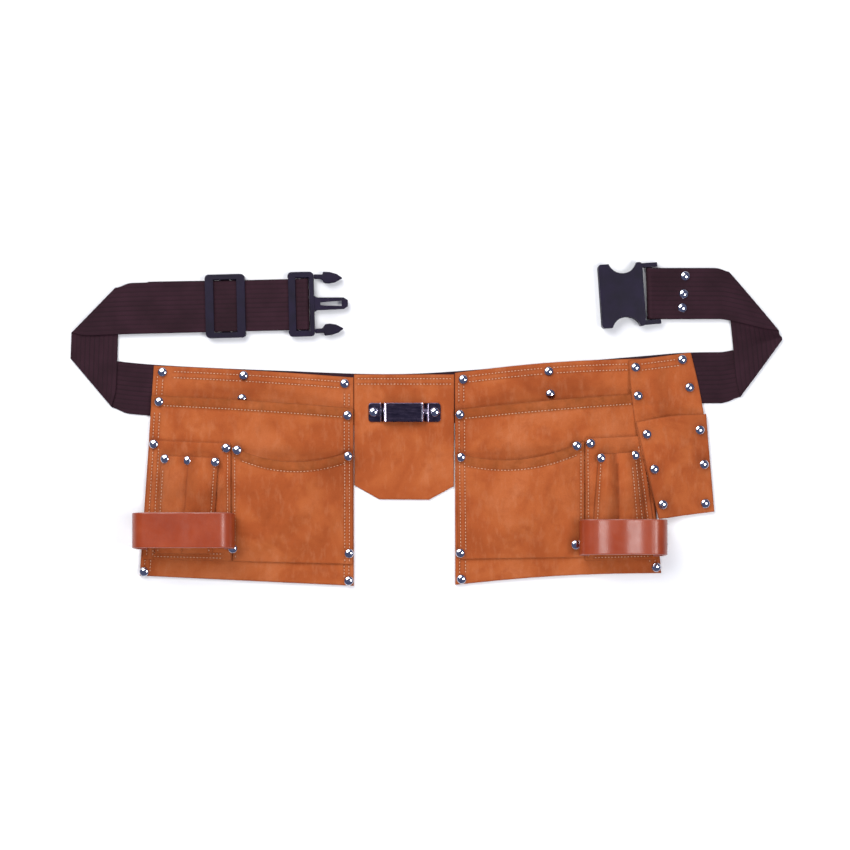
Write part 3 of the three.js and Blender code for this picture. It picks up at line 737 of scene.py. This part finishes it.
def pouch_sheets(side, rows):
    """The five sheets of a pouch, from the lowest to the highest."""
    shape = {
        "left": dict(back=(hump(1), none), main=(hump(1), none), scoop=13, seam=0.46),
        "right": dict(back=(hump(3), hump(3)), main=(hump(1), hump(3)), scoop=12, seam=0.47),
    }[side]
    seed = {"left": 11, "right": 23}[side]
    back = Sheet(f"{side}_back_panel", [webs], seed, top_drop=shape["back"][0],
                 bottom_drop=shape["back"][1], rows=rows["back"], slack=0.3)
    main = Sheet(f"{side}_main_pocket", [back], seed + 1, pocket_bulge(13), shape["main"][0],
                 shape["main"][1], hem=10.5, rows=rows["main"], slack=3.4)
    small = Sheet(f"{side}_small_pocket", [main], seed + 2, pocket_bulge(9), scoop(shape["scoop"]),
                  rows=rows["small"], hem=9.5, slack=2.8)
    panel = Sheet(f"{side}_tool_panel", [main], seed + 3, rows=rows["panel"], slack=0.3)
    sleeve = Sheet(f"{side}_pencil_sleeve", [panel], seed + 4, tube_bulge(6.5, [0, shape["seam"], 1]),
                   rows=rows["sleeve"])
    return [back, main, small, panel, sleeve]


LEFT_ROWS = {
    "back": [("top", 5, 0.1, 0.93), ("top", 11, 0.1, 0.93), ("left", 4.5, 0.86, 0.97),
             ("left", 10, 0.86, 0.97), ("right", 4.5, 0.86, 0.93), ("right", 9, 0.86, 0.93)],
    "main": [("top", 9.5, 0.06, 0.95), ("left", 4, 0.02, 0.9), ("left", 9.5, 0.02, 0.9),
             ("right", 4.5, 0.04, 0.95), ("right", 9, 0.04, 0.95)],
    "small": [("top", 9.5, 0.08, 0.93), ("left", 2.6, 0.03, 0.93), ("right", 3, 0.02, 0.95),
              ("right", 7.5, 0.02, 0.95)],
    "panel": [("left", 3.6, 0.03, 0.93), ("left", 9.5, 0.03, 0.93), ("right", 3, 0.1, 0.92),
              ("bottom", 3, 0.12, 0.9), ("bottom", 7, 0.12, 0.9)],
    "sleeve": [("seam", 0.46, 0.02, 0.9), ("right", 3.5, 0.02, 0.9), ("left", 3, 0.02, 0.86)],
}
RIGHT_ROWS = {
    "back": [("top", 5, 0.07, 0.93), ("top", 10.5, 0.07, 0.93), ("left", 4, 0.86, 0.95),
             ("left", 9, 0.86, 0.95)],
    "main": [("top", 9.5, 0.05, 0.95), ("left", 4, 0.04, 0.94), ("left", 9.5, 0.04, 0.94),
             ("right", 4.5, 0.06, 0.9), ("right", 9.5, 0.06, 0.9)],
    "small": [("top", 10, 0.08, 0.94), ("left", 2.6, 0.02, 0.94), ("left", 7.5, 0.02, 0.94),
              ("right", 3.2, 0.02, 0.94)],
    "panel": [("left", 2.8, 0.03, 0.93), ("right", 4.5, 0.05, 0.92), ("bottom", 3, 0.12, 0.9)],
    "sleeve": [("seam", 0.47, 0.02, 0.9), ("left", 3.2, 0.02, 0.9), ("right", 3.5, 0.02, 0.9),
               ("right", 8.5, 0.02, 0.86)],
}

left_sheets = pouch_sheets("left", LEFT_ROWS)
right_sheets = pouch_sheets("right", RIGHT_ROWS)
right_back, right_main, _, right_panel, _ = right_sheets
flap = Sheet("holster_back_flap", [webs, right_back, right_main, right_panel], 41,
             rows=[("top", 5, 0.18, 0.8), ("top", 11, 0.18, 0.8)], slack=0.3,
             left_bow=shoulder_bow(5.4), right_bow=shoulder_bow(4.2))
holster = Sheet("holster_pocket", [flap], 43, pocket_bulge(8), hump(2), slack=1.2)
centre = Sheet("centre_panel", [webs], 47, bottom_drop=chamfer(13.5, 0.25),
               rows=[("top", 4.2, 0.03, 0.97), ("top", 9.5, 0.03, 0.97)], slack=0.5)
sheets_on = {
    "left_pouch": left_sheets,
    "right_pouch": [*right_sheets, flap, holster],
    "centre": [centre],
}


# ---- Rivets --------------------------------------------------------------------------------

# Rivets beside the CAD model's own, by their place on the drawn belt
MORE_RIVETS = {
    "left_pouch": [(-178.9, 25.9), (-187.2, -120.2), (-74.2, -125.4)],
    "right_pouch": [
        (122.7, 30.3), (207.7, 28.4), (205.8, 56.2), (216.0, -9.0), (223.4, -43.1), (231.7, -77.4),
        (170.8, -32.0), (204.2, -29.5), (146.8, -116.4), (34.6, -125.0),
    ],
}


def rivet_nodes(body):
    members = frame["record"]["behaviour"]["bodies"][body]
    return [name for name in members if "_rivet_" in name]


def topmost(body, x, y):
    """The highest sheet at a place: the last one whose cut outline holds it, or None."""
    spot = np.array([x]), np.array([y])
    found = [sheet for sheet in sheets_on[body] if sheet.outline.holds(*spot)[0]]
    return found[-1] if found else None


def rivet_profile(bottom, seat):
    share = np.linspace(0, 1, 9)[1:-1]
    dome = [
        (CAP_RADIUS * math.cos(a), seat + CAP_LIP + (CAP_HEIGHT - CAP_LIP) * math.sin(a))
        for a in share * math.pi / 2
    ]
    return [
        (0, bottom), (BACK_RADIUS - 0.3, bottom), (BACK_RADIUS, bottom + 0.2),
        (BACK_RADIUS, bottom + BACK_HEIGHT), (POST_RADIUS, bottom + BACK_HEIGHT), (POST_RADIUS, seat),
        (CAP_RADIUS - 0.2, seat), (CAP_RADIUS, seat + 0.15), (CAP_RADIUS, seat + 0.4), *dome,
        (0, seat + CAP_HEIGHT),
    ]


def rivet(name, body, x, y, bottom, seat, node=None):
    piece = lathed(name, rivet_profile(bottom, seat), (x, y), CHROME)
    if node:
        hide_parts(node)
    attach(piece, body)


def plan_rivets():
    """Each leather rivet's name, body, place and CAD node. Sheets learn where they are pressed."""
    planned = []
    for body in ("left_pouch", "right_pouch"):
        for node in rivet_nodes(body):
            low, high = node_box(node)
            x, y = (low[:2] + high[:2]) / 2
            planned.append((f"{node}_cap", body, x, y, node))
        for number, spot in enumerate(MORE_RIVETS[body]):
            planned.append((f"{body}_extra_rivet_{number + 1}", body, *placed(*spot), None))
    for _, body, x, y, _ in planned:
        for sheet in sheets_on[body]:
            if sheet.outline.holds(np.array([x]), np.array([y]))[0]:
                sheet.rivets.append((x, y))
    return planned


def build_rivets(planned):
    for name, body, x, y, node in planned:
        spot = np.array([x]), np.array([y])
        sheet = topmost(body, x, y)
        seat = float(sheet.surface(*spot)[0]) + 0.35
        bottom = 0.05 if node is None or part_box(node)[0].z < 0.001 else node_box(node)[0][2]
        if node is None:
            lowest = sheets_on[body][0]
            if not lowest.outline.holds(*spot)[0]:
                lowest = sheet
            bottom = max(0.0, float(lowest.base(*spot)[0]) - 0.2)
        rivet(name, body, x, y, bottom, seat, node)


# ---- Stitches --------------------------------------------------------------------------------


def stitch_template():
    """One stitch lying along X: a plump length of thread that dives at both ends."""
    stations = [
        (-0.5, 0.25, -0.6), (-0.36, 0.8, -0.05), (0.0, 1.0, 0.25), (0.36, 0.8, -0.05), (0.5, 0.25, -0.6),
    ]
    angles = np.linspace(0, 2 * math.pi, 6, endpoint=False)
    rings = [
        np.stack([
            np.full(6, along * STITCH_LENGTH),
            girth * STITCH_WIDTH / 2 * np.cos(angles),
            girth * STITCH_HEIGHT / 2 * np.sin(angles) + rise * STITCH_HEIGHT / 2,
        ], 1)
        for along, girth, rise in stations
    ]
    faces = [tuple(range(5, -1, -1)), tuple(range(24, 30))]
    for ring in range(4):
        for i in range(6):
            a, b = ring * 6 + i, ring * 6 + (i + 1) % 6
            faces.append((a, b, b + 6, a + 6))
    return np.concatenate(rings), faces


def stitch_places(body):
    """The middle and direction of every stitch that no rivet or higher sheet covers."""
    found = []
    for level, sheet in enumerate(sheets_on[body]):
        higher = sheets_on[body][level + 1:]
        for row in sheet.rows:
            line = sheet.row_points(row, STITCH_PITCH / 4)[2::4]
            if len(line) < 3:
                continue
            x, y = line.T
            seen = np.ones(len(line), bool)
            for other in higher:
                seen &= ~other.outline.holds(x, y)
            for cx, cy in rivet_spots[body]:
                seen &= np.hypot(x - cx, y - cy) > CAP_RADIUS + 1.2
            heading = np.gradient(line, axis=0)
            heading /= np.linalg.norm(heading, axis=1)[:, None]
            back, front = line - heading, line + heading
            slope = (sheet.surface(*front.T) - sheet.surface(*back.T)) / 2
            z = sheet.surface(x, y)
            places = zip(line, heading, slope, z, seen)
            found += [(p, h, s, level_z) for p, h, s, level_z, keep in places if keep]
    return found


def stitches(name, body, seed):
    template, faces = stitch_template()
    rng = np.random.default_rng(seed)
    points, all_faces = [], []
    for number, (place, heading, slope, z) in enumerate(stitch_places(body)):
        turn = rng.normal(0, 0.11)
        along = np.array([heading[0], heading[1], slope])
        along /= np.linalg.norm(along)
        side = np.cross([0, 0, 1], along)
        side = side / np.linalg.norm(side)
        along = along * math.cos(turn) + side * math.sin(turn)
        side = np.cross([0, 0, 1], along)
        up = np.cross(along, side)
        length = rng.uniform(0.78, 1.06)
        shape = template * np.array([length, 1, 1])
        points.append(shape @ np.stack([along, side, up]) + np.array([*place, z + 0.16]))
        all_faces += [tuple(i + 30 * number for i in face) for face in faces]
    piece = new_piece(name, np.concatenate(points), all_faces, THREAD, 80)
    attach(piece, body)


# ---- Webbing -----------------------------------------------------------------------------------


def direction(degrees_):
    return np.array([math.cos(math.radians(degrees_)), math.sin(math.radians(degrees_))])


def heading_of(vector):
    return math.degrees(math.atan2(vector[1], vector[0]))


class Fold:
    """A strap turned over a straight line through centre. It comes in and leaves at given headings."""

    def __init__(self, centre, heading_in, heading_out, level):
        self.centre = np.array(centre)
        self.along = direction((heading_in + heading_out) / 2)
        forward = direction(heading_in)
        across = np.array([-self.along[1], self.along[0]])
        self.normal = across if across @ forward > 0 else -across
        self.level = level

    def slant(self, forward, sideways):
        return float(self.along @ forward / (self.along @ sideways))

    def apply(self, points):
        flat, z = points[..., :2], points[..., 2]
        start = self.centre - self.normal * (math.pi * FOLD_RADIUS / 2)
        far = (flat - start) @ self.normal
        lift = z - self.level
        turn = np.clip(far / FOLD_RADIUS, 0, math.pi)
        rest = np.maximum(far - math.pi * FOLD_RADIUS, 0)
        reach = (FOLD_RADIUS - lift) * np.sin(turn) - rest
        bent = np.where(far > 0, reach - far, 0)
        risen = self.level + FOLD_RADIUS - (FOLD_RADIUS - lift) * np.cos(turn)
        moved = flat + bent[..., None] * self.normal
        return np.concatenate([moved, np.where(far > 0, risen, z)[..., None]], -1)


class Strap:
    """One side of the belt's webbing, from the middle of the waist to the start of its upper run."""

    def __init__(self, side, line, upper_heading):
        self.side = side
        lower, upper = joint_place(f"{side}_lower_fold"), joint_place(f"{side}_upper_fold")
        steps = np.diff(line, axis=0)
        self.far = np.concatenate([[0], np.cumsum(np.hypot(*steps.T))])
        self.line = line
        self.end_heading = steps[-1] / np.linalg.norm(steps[-1])
        came = heading_of(self.end_heading) % 360
        riser = heading_of(upper - lower)
        self.fold_at = self.far[-1]
        self.upper_at = self.fold_at + float(np.linalg.norm(upper - lower))
        self.lower_fold = Fold(lower, came, riser, WAIST_MID)
        self.upper_fold = Fold(upper, riser, upper_heading, RISER_MID)
        self.upper_origin = upper
        self.upper_heading = upper_heading
        sideways = np.array([-self.end_heading[1], self.end_heading[0]])
        first = self.lower_fold.slant(self.end_heading, sideways)
        out = direction(riser)
        turned = sideways - 2 * (sideways @ self.lower_fold.normal) * self.lower_fold.normal
        second = self.upper_fold.slant(out, turned)
        self.slants = [
            (self.fold_at - 80, 0.0), (self.fold_at - 4, first), (self.fold_at + 4, first),
            (self.upper_at - 4, second), (self.upper_at + 4, second), (self.upper_at + 62, 0.0),
        ]

    def flat(self, s, t):
        """The point on the strap as if it weren't folded."""
        beyond = np.maximum(t - self.far[-1], 0)
        inside = np.clip(t, 0, self.far[-1])
        x, y = np.interp(inside, self.far, self.line[:, 0]), np.interp(inside, self.far, self.line[:, 1])
        step = 2.0
        ahead = np.clip(inside + step, 0, self.far[-1])
        behind = np.clip(inside - step, 0, self.far[-1])
        run = np.stack([
            np.interp(ahead, self.far, self.line[:, 0]) - np.interp(behind, self.far, self.line[:, 0]),
            np.interp(ahead, self.far, self.line[:, 1]) - np.interp(behind, self.far, self.line[:, 1]),
        ], -1)
        run /= np.linalg.norm(run, axis=-1)[..., None]
        settled = smoothstep(t, self.far[-1] - 14, self.far[-1] - 8)[..., None]
        run = run * (1 - settled) + self.end_heading * settled
        run /= np.linalg.norm(run, axis=-1)[..., None]
        sideways = np.stack([-run[..., 1], run[..., 0]], -1)
        return np.stack([x, y], -1) + beyond[..., None] * self.end_heading + s[..., None] * sideways

    def rows(self, start, end):
        """Row places between start and end, closer together where the strap folds over."""
        marks = [start]
        while marks[-1] < end - 0.2:
            near = min(abs(marks[-1] - self.fold_at), abs(marks[-1] - self.upper_at))
            marks.append(min(end, marks[-1] + (0.3 if near < 3 else WEB_ROW)))
        return np.array(marks)

    def gathered(self, points):
        """The folded strap with its riser's outer edge drawn together."""
        outward = (points[..., 0] - self.upper_origin[0]) * np.sign(self.upper_origin[0])
        share = np.clip((outward - GATHER_START) / GATHER_LENGTH, 0, 1.1) ** 1.2
        middle = (self.upper_origin[1] + self.lower_fold.centre[1]) / 2
        pull = np.clip((points[..., 1] - middle) / GATHER_DEPTH, -1, 1)
        moved = points.copy()
        moved[..., 1] -= GATHER[self.side] * share * pull
        return moved

    def drawn_in(self, s, t_row):
        """Places across the strap, with its edges pulled in where it turns over a fold."""
        before, beyond = self.fold_at - t_row, t_row - self.upper_at
        folded = np.exp(-(np.minimum(np.abs(before), np.abs(beyond)) / CORNER_REACH) ** 2)
        gathered = np.exp(-(np.maximum(0, np.maximum(before, beyond)) / CORNER_REACH) ** 2)
        outer = s * np.sign(self.upper_origin[0]) > 0
        share = np.where(outer, gathered[:, None], folded[:, None])
        pull = CORNER_PULL[self.side] * share * np.abs(s / (WEB_WIDTH / 2)) ** 4
        return s - np.sign(s) * pull

    def strip(self, name, start, end):
        columns = rib_columns()
        t_row = self.rows(start, end)
        places, slopes = zip(*self.slants)
        slant = np.interp(t_row, places, slopes)
        s = np.repeat(columns[None, :], len(t_row), 0)
        rib, thick = rib_profile(s)
        s = self.drawn_in(s, t_row)
        t = t_row[:, None] + slant[:, None] * s
        layers = []
        for sign in (1, -1):
            points = np.concatenate([self.flat(s, t), (WAIST_MID + sign * thick)[..., None]], -1)
            layers.append(self.gathered(self.upper_fold.apply(self.lower_fold.apply(points))))
        cloth = np.stack([s * MM, t * MM, 0 * s], -1)
        return web_piece(name, layers[0], layers[1], cloth, rib)


def rib_columns():
    inner = np.linspace(-WEB_WIDTH / 2 + 0.35, WEB_WIDTH / 2 - 0.35, RIB_COUNT * 6 + 1)
    return np.concatenate([[-WEB_WIDTH / 2], inner, [WEB_WIDTH / 2]])


def rib_profile(s):
    """How high the rib is at each place across the webbing, and half of the thickness there."""
    phase = (s / WEB_WIDTH + 0.5) * RIB_COUNT
    rib = np.abs(np.sin(np.pi * phase)) ** 0.6
    outer = np.abs(s) > WEB_WIDTH / 2 - 0.2
    half = WEB_CORE / 2 + RIB_HEIGHT * rib
    return rib, np.where(outer, WEB_CORE * 0.28, half)


def web_piece(name, upper, lower, cloth, rib):
    piece = slab(name, upper, lower, WEBBING, cloth=cloth, rib=rib)
    return piece


def eye_profile(bar_at, bar_radius, bar_z, tail_at, start):
    """The strap's middle line in its own length and height: out to the bar, round it and back."""
    eye = bar_radius + 0.3 + 0.8
    neck = 11.0
    angles = np.radians(np.linspace(125, -125, 27))
    loop = np.stack([bar_at + eye * np.cos(angles), bar_z + 0.2 + eye * np.sin(angles)], 1)
    path = np.concatenate([
        [[start, UPPER_MID], [bar_at - neck - 5, UPPER_MID], [bar_at - neck, UPPER_MID]], loop,
        [[bar_at - neck, RISER_MID], [bar_at - neck - 5, RISER_MID], [tail_at, RISER_MID]],
    ])
    for _ in range(2):
        a, b = path[:-1] * 0.75 + path[1:] * 0.25, path[:-1] * 0.25 + path[1:] * 0.75
        cut = np.stack([a, b], 1).reshape(-1, 2)
        path = np.concatenate([path[:1], cut[1:-1], path[-1:]])
    far = np.concatenate([[0], np.cumsum(np.hypot(*np.diff(path, axis=0).T))])
    marks, loop_start, loop_end = [0.0], bar_at - neck - 6 - start, far[-1] - (bar_at - neck - 6 - tail_at)
    while marks[-1] < far[-1] - 0.2:
        inside = loop_start < marks[-1] < loop_end
        marks.append(min(far[-1], marks[-1] + (0.7 if inside else WEB_ROW)))
    at = np.array(marks)
    line = np.stack([np.interp(at, far, path[:, 0]), np.interp(at, far, path[:, 1])], 1)
    return line, at


def strap_end(name, strap, bar_at, bar_radius, bar_z, tail_at, lean, tail_shift):
    """The upper run of the strap, round the buckle's bar and back behind itself."""
    start = 62.0
    line, far = eye_profile(bar_at, bar_radius, bar_z, tail_at, start)
    run = np.gradient(line, axis=0)
    run /= np.linalg.norm(run, axis=1)[:, None]
    normal = np.stack([-run[:, 1], run[:, 0]], 1)
    columns = rib_columns()
    s = np.repeat(columns[None, :], len(line), 0)
    rib, thick = rib_profile(s)
    near = smoothstep(line[:, 0], bar_at - 33, bar_at - 9)[:, None]
    skew = -near * math.tan(math.radians(lean)) * s
    behind = line[:, 1] < (UPPER_MID + RISER_MID) / 2
    drift = (tail_shift * smoothstep(bar_at - line[:, 0], 30, bar_at - tail_at) * behind)[:, None]
    forward = direction(strap.upper_heading)
    sideways = np.array([-forward[1], forward[0]])
    layers = []
    for sign in (1, -1):
        along = line[:, :1] + sign * thick * normal[:, :1] + skew
        height = line[:, 1:] + sign * thick * normal[:, 1:]
        flat = along[..., None] * forward + (s + drift)[..., None] * sideways + strap.upper_origin
        layers.append(np.concatenate([flat, height[..., None]], -1))
    t = far[:, None] + strap.upper_at + start + 0 * s
    cloth = np.stack([s * MM, t * MM, 0 * s], -1)
    return web_piece(name, layers[0], layers[1], cloth, rib)


def build_side(side, line, upper_heading, bar, lean, tail_shift):
    strap = Strap(side, line, upper_heading)
    bar_at, bar_radius, bar_z, tail_at = bar
    waist_end = 0.62 * strap.fold_at
    riser_middle = (strap.fold_at + strap.upper_at) / 2
    wrap = strap.strip(f"{side}_waist_wrap_web", 0.0, waist_end)
    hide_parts("centre_waist_web")
    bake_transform(wrap)
    lower = strap.strip(f"{side}_lower_fold_web", waist_end, riser_middle)
    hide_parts(f"{side}_waist_web")
    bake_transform(lower)
    upper = strap.strip(f"{side}_upper_fold_web", riser_middle, strap.upper_at + 62.0)
    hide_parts(f"{side}_riser_web")
    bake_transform(upper)
    end = strap_end(f"{side}_strap_end_web", strap, bar_at, bar_radius, bar_z, tail_at, lean, tail_shift)
    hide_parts(f"{side}_upper_web")
    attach(end, f"{side}_strap")


# ---- Leather loops, clip, buckle ----------------------------------------------------------------


def arc(x, z, radius, start, end, steps):
    angles = np.radians(np.linspace(start, end, steps + 1))
    return np.stack([x + radius * np.cos(angles), z + radius * np.sin(angles)], 1)


def evenly(path, step):
    far = np.concatenate([[0], np.cumsum(np.hypot(*np.diff(path, axis=0).T))])
    at = np.linspace(0, far[-1], max(2, round(far[-1] / step)) + 1)
    return np.stack([np.interp(at, far, path[:, 0]), np.interp(at, far, path[:, 1])], 1), at


def rounded_band(name, path, thickness, width, centre_y, material, shear=0.0, step=1.2, raised=None,
                 half_width=None):
    """A strip of even thickness along a path in X and Z. shear slides it along +Y as it rises."""
    line, far = evenly(path, step)
    run = np.gradient(line, axis=0)
    run /= np.linalg.norm(run, axis=1)[:, None]
    normal = np.stack([-run[:, 1], run[:, 0]], 1)
    half = np.full(len(line), width / 2) if half_width is None else half_width(line[:, 0])
    shares = np.concatenate([[-1, -0.985, -0.95], np.linspace(-0.9, 0.9, 17), [0.95, 0.985, 1]])
    y = half[:, None] * shares[None, :]
    rounding = np.where(np.abs(shares) > 0.99, 0.45, np.where(np.abs(shares) > 0.97, 0.85, 1.0))[None, :]
    extra = 0 * y if raised is None else raised(line[:, 0])[:, None] + 0 * y
    low = line[:, 1].min()
    rise = (line[:, 1] - low) / max(1e-6, line[:, 1].max() - low)
    slid = y + centre_y + shear * rise[:, None]
    layers = []
    for sign in (1, -1):
        offset = sign * thickness / 2 * rounding + (extra if sign > 0 else 0)
        layers.append(np.stack([
            line[:, :1] + offset * normal[:, :1], slid, line[:, 1:] + offset * normal[:, 1:],
        ], -1))
    ends = np.minimum(far, far[-1] - far)[:, None]
    edge = np.minimum((1 - np.abs(shares))[None, :] * half[:, None], ends)
    # Painted light mask: on the clip, a painted highlight on the raised bend beads; zero where nothing is raised.
    wear = np.clip(extra / 0.4, 0, 1) if raised else 0 * y
    return slab(name, layers[0], layers[1], material, edge=edge, wear=wear)


def hammer_loop(side, panel):
    node = f"{side}_hammer_loop"
    low, high = node_box(node)
    outer, inner = low[0] + STRAP_LEATHER / 2, high[0] - STRAP_LEATHER / 2
    width, curl, foot, shoulder = LOOP_WIDTH, LOOP_CURL, LOOP_FOOT, LOOP_SHOULDER
    y = (low[1] + high[1]) / 2

    def seat(start, end):
        x, ys = np.meshgrid([start, (start + end) / 2, end], y + np.array([-0.6, 0, 0.6]) * width)
        return STRAP_LEATHER / 2 + 0.5 + float(panel.top(x, ys).max())

    first, last = seat(outer + curl, outer + curl + foot), seat(inner - curl - foot, inner - curl)
    crown = max(first, last) + LOOP_RISE
    share = np.linspace(0.04, 0.96, 40)
    crown_x = outer + shoulder + share * (inner - outer - 2 * shoulder)
    wave = CROWN_WAVE * np.sin(2 * np.pi * (crown_x - outer) / CROWN_WAVELENGTH)
    wave = wave * np.sin(np.pi * share) ** 0.5
    path = np.concatenate([
        [[outer + curl + foot, first], [outer + curl, first]],
        arc(outer + curl, first + curl, curl, 255, 190, 9),
        arc(outer + shoulder, crown - shoulder, shoulder, 175, 98, 14),
        np.stack([crown_x, crown + wave], 1),
        arc(inner - shoulder, crown - shoulder, shoulder, 82, 5, 14),
        arc(inner - curl, last + curl, curl, -10, -75, 9),
        [[inner - curl, last], [inner - curl - foot, last]],
    ])
    loop = rounded_band(
        f"{side}_hammer_strap", path, STRAP_LEATHER, width, y - LOOP_SET_BACK, STRAP, shear=LOOP_SHEAR
    )
    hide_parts(node)
    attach(loop, f"{side}_pouch")


def tape_clip():
    low, high = node_box("tape_clip")
    x, y = (low[:2] + high[:2]) / 2
    half, rise, radius = (high[0] - low[0]) / 2, CLIP_RISE, CLIP_CORNER
    spot = np.meshgrid([low[0], x, high[0]], [low[1], y, high[1]])
    floor = float(centre.top(*spot).max()) + CLIP_PLATE / 2 - LAYER_GAP + 0.2
    bends = CLIP_BENDS
    path = np.array([
        (x - half, floor), (x + bends[0], floor), (x + bends[1], floor + rise),
        (x + bends[2], floor + rise), (x + bends[3], floor), (x + half, floor),
    ])

    # Raised beads at the bends; rounded_band also paints a highlight on them.
    def ridge(at):
        return 0.45 * sum(np.exp(-((at - x - bend) / 0.7) ** 2) for bend in bends)

    def narrowing(at):
        inset = np.clip(radius - (half - np.abs(at - x)), 0, radius)
        return (high[1] - low[1]) / 2 - radius + np.sqrt(np.maximum(0, radius ** 2 - inset ** 2))

    clip = rounded_band("tape_clip_plate", path, CLIP_PLATE, high[1] - low[1], y, CLIP_STEEL, step=0.4,
                        raised=ridge, half_width=narrowing)
    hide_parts("tape_clip")
    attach(clip, "centre")
    for node in rivet_nodes("centre"):
        box_low, box_high = node_box(node)
        middle = (box_low + box_high) / 2
        rivet(f"{node}_cap", "centre", middle[0], middle[1], 0.0, floor + CLIP_PLATE / 2 + 0.1, node)


def moulded(node, body, bevel, material=PLASTIC):
    """A plastic part: the CAD node's shape with its flat faces joined and its corners rounded."""
    mesh = frame["nodes"][node].data.copy()
    shape = bmesh.new()
    shape.from_mesh(mesh)
    bmesh.ops.remove_doubles(shape, verts=shape.verts, dist=1e-6)
    bmesh.ops.dissolve_limit(shape, angle_limit=math.radians(2), verts=shape.verts, edges=shape.edges)
    shape.to_mesh(mesh)
    shape.free()
    mesh.materials.clear()
    mesh.materials.append(material)
    mesh.shade_smooth()
    piece = bpy.data.objects.new(f"{node}_moulding", mesh)
    bpy.context.scene.collection.objects.link(piece)
    rounding = piece.modifiers.new("rounding", "BEVEL")
    rounding.width = bevel * MM
    rounding.segments = 3
    rounding.limit_method = "ANGLE"
    rounding.angle_limit = math.radians(28)
    flats = piece.modifiers.new("flats", "WEIGHTED_NORMAL")
    flats.weight = 100
    flats.keep_sharp = False
    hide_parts(node)
    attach(piece, body)
    return piece


# ---- The belt -----------------------------------------------------------------------------------

planned_rivets = plan_rivets()
rivet_spots = {
    body: [(x, y) for _, owner, x, y, _ in planned_rivets if owner == body]
    for body in ("left_pouch", "right_pouch")
}
rivet_spots["centre"] = []

for body, sheets in sheets_on.items():
    for sheet in sheets:
        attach(sheet.build(), body)

build_rivets(planned_rivets)
for seed, body in enumerate(sheets_on):
    stitches(f"{body}_stitches", body, 100 + seed)

seam_x = float(placed(-20, 0)[0])
waist_left = waist_line[waist_line[:, 0] < seam_x][::-1]
waist_right = waist_line[waist_line[:, 0] > seam_x]
seam_point = np.array([[seam_x, np.interp(seam_x, waist_line[:, 0], waist_line[:, 1])]])
build_side("left", np.concatenate([seam_point, waist_left]), 1.4,
           (207.5, 1.9, 4.0, 54.0), 0.0, 0.85)
build_side("right", np.concatenate([seam_point, waist_right]), 180.0,
           (101.3, 2.2, 4.3, 58.0), 1.5, 0.0)

for node in rivet_nodes("right_strap"):
    low_corner, high_corner = node_box(node)
    middle = (low_corner + high_corner) / 2
    rivet(f"{node}_cap", "right_strap", middle[0], middle[1], low_corner[2], WEB_TOP + 0.1, node)

hammer_loop("left", left_sheets[3])
hammer_loop("right", right_panel)
tape_clip()
for node, body, bevel in (
    ("strap_slider", "slider", 0.9), ("male_buckle", "plug", 0.6), ("upper_prong", "plug_upper_prong", 0.9),
    ("lower_prong", "plug_lower_prong", 0.9), ("female_buckle", "socket", 0.9),
):
    moulded(node, body, bevel)


# ---- Floor, lights, camera ------------------------------------------------------------------------


def studio_floor():
    size = FLOOR_SIZE
    mesh = bpy.data.meshes.new("floor")
    corners = [(-size, -size, 0), (size, -size, 0), (size, size, 0), (-size, size, 0)]
    mesh.from_pydata(corners, [], [(0, 1, 2, 3)])
    floor = bpy.data.objects.new("floor", mesh)
    floor.location.z = -FLOOR_GAP
    bpy.context.scene.collection.objects.link(floor)
    paper = Finish("floor_paper", Roughness=0.9)
    mesh.materials.append(paper.done(paper.ramp(paper.noise(3.0), [(0.4, "f4f4f4"), (0.6, "f8f8f8")])))


def soft_light(name, place, size, power, mirrored):
    """A square light aimed at the origin. One that isn't mirrored leaves no highlight on shiny pieces."""
    lamp = bpy.data.lights.new(name, "AREA")
    lamp.shape = "SQUARE"
    lamp.size = size
    lamp.energy = power
    light = bpy.data.objects.new(name, lamp)
    light.location = place
    light.rotation_euler = (Vector((0, 0, 0)) - Vector(place)).to_track_quat("-Z", "Y").to_euler()
    light.visible_glossy = mirrored
    bpy.context.scene.collection.objects.link(light)


def studio():
    studio_floor()
    for light in LIGHTS:
        soft_light(*light)
    world = bpy.data.worlds.new("studio")
    world.use_nodes = True
    background = world.node_tree.nodes["Background"]
    background.inputs["Color"].default_value = SKY_COLOUR
    background.inputs["Strength"].default_value = SKY_STRENGTH
    bpy.context.scene.world = world


def camera():
    lens = bpy.data.cameras.new("camera")
    lens.lens = LENS
    lens.sensor_width = SENSOR
    seat = bpy.data.objects.new("camera", lens)
    seat.location = (SHIFT[0] * MM, SHIFT[1] * MM, VIEW_WIDTH * MM * LENS / SENSOR)
    bpy.context.scene.collection.objects.link(seat)
    bpy.context.scene.camera = seat


studio()
camera()
bpy.context.scene.view_settings.view_transform = "Standard"
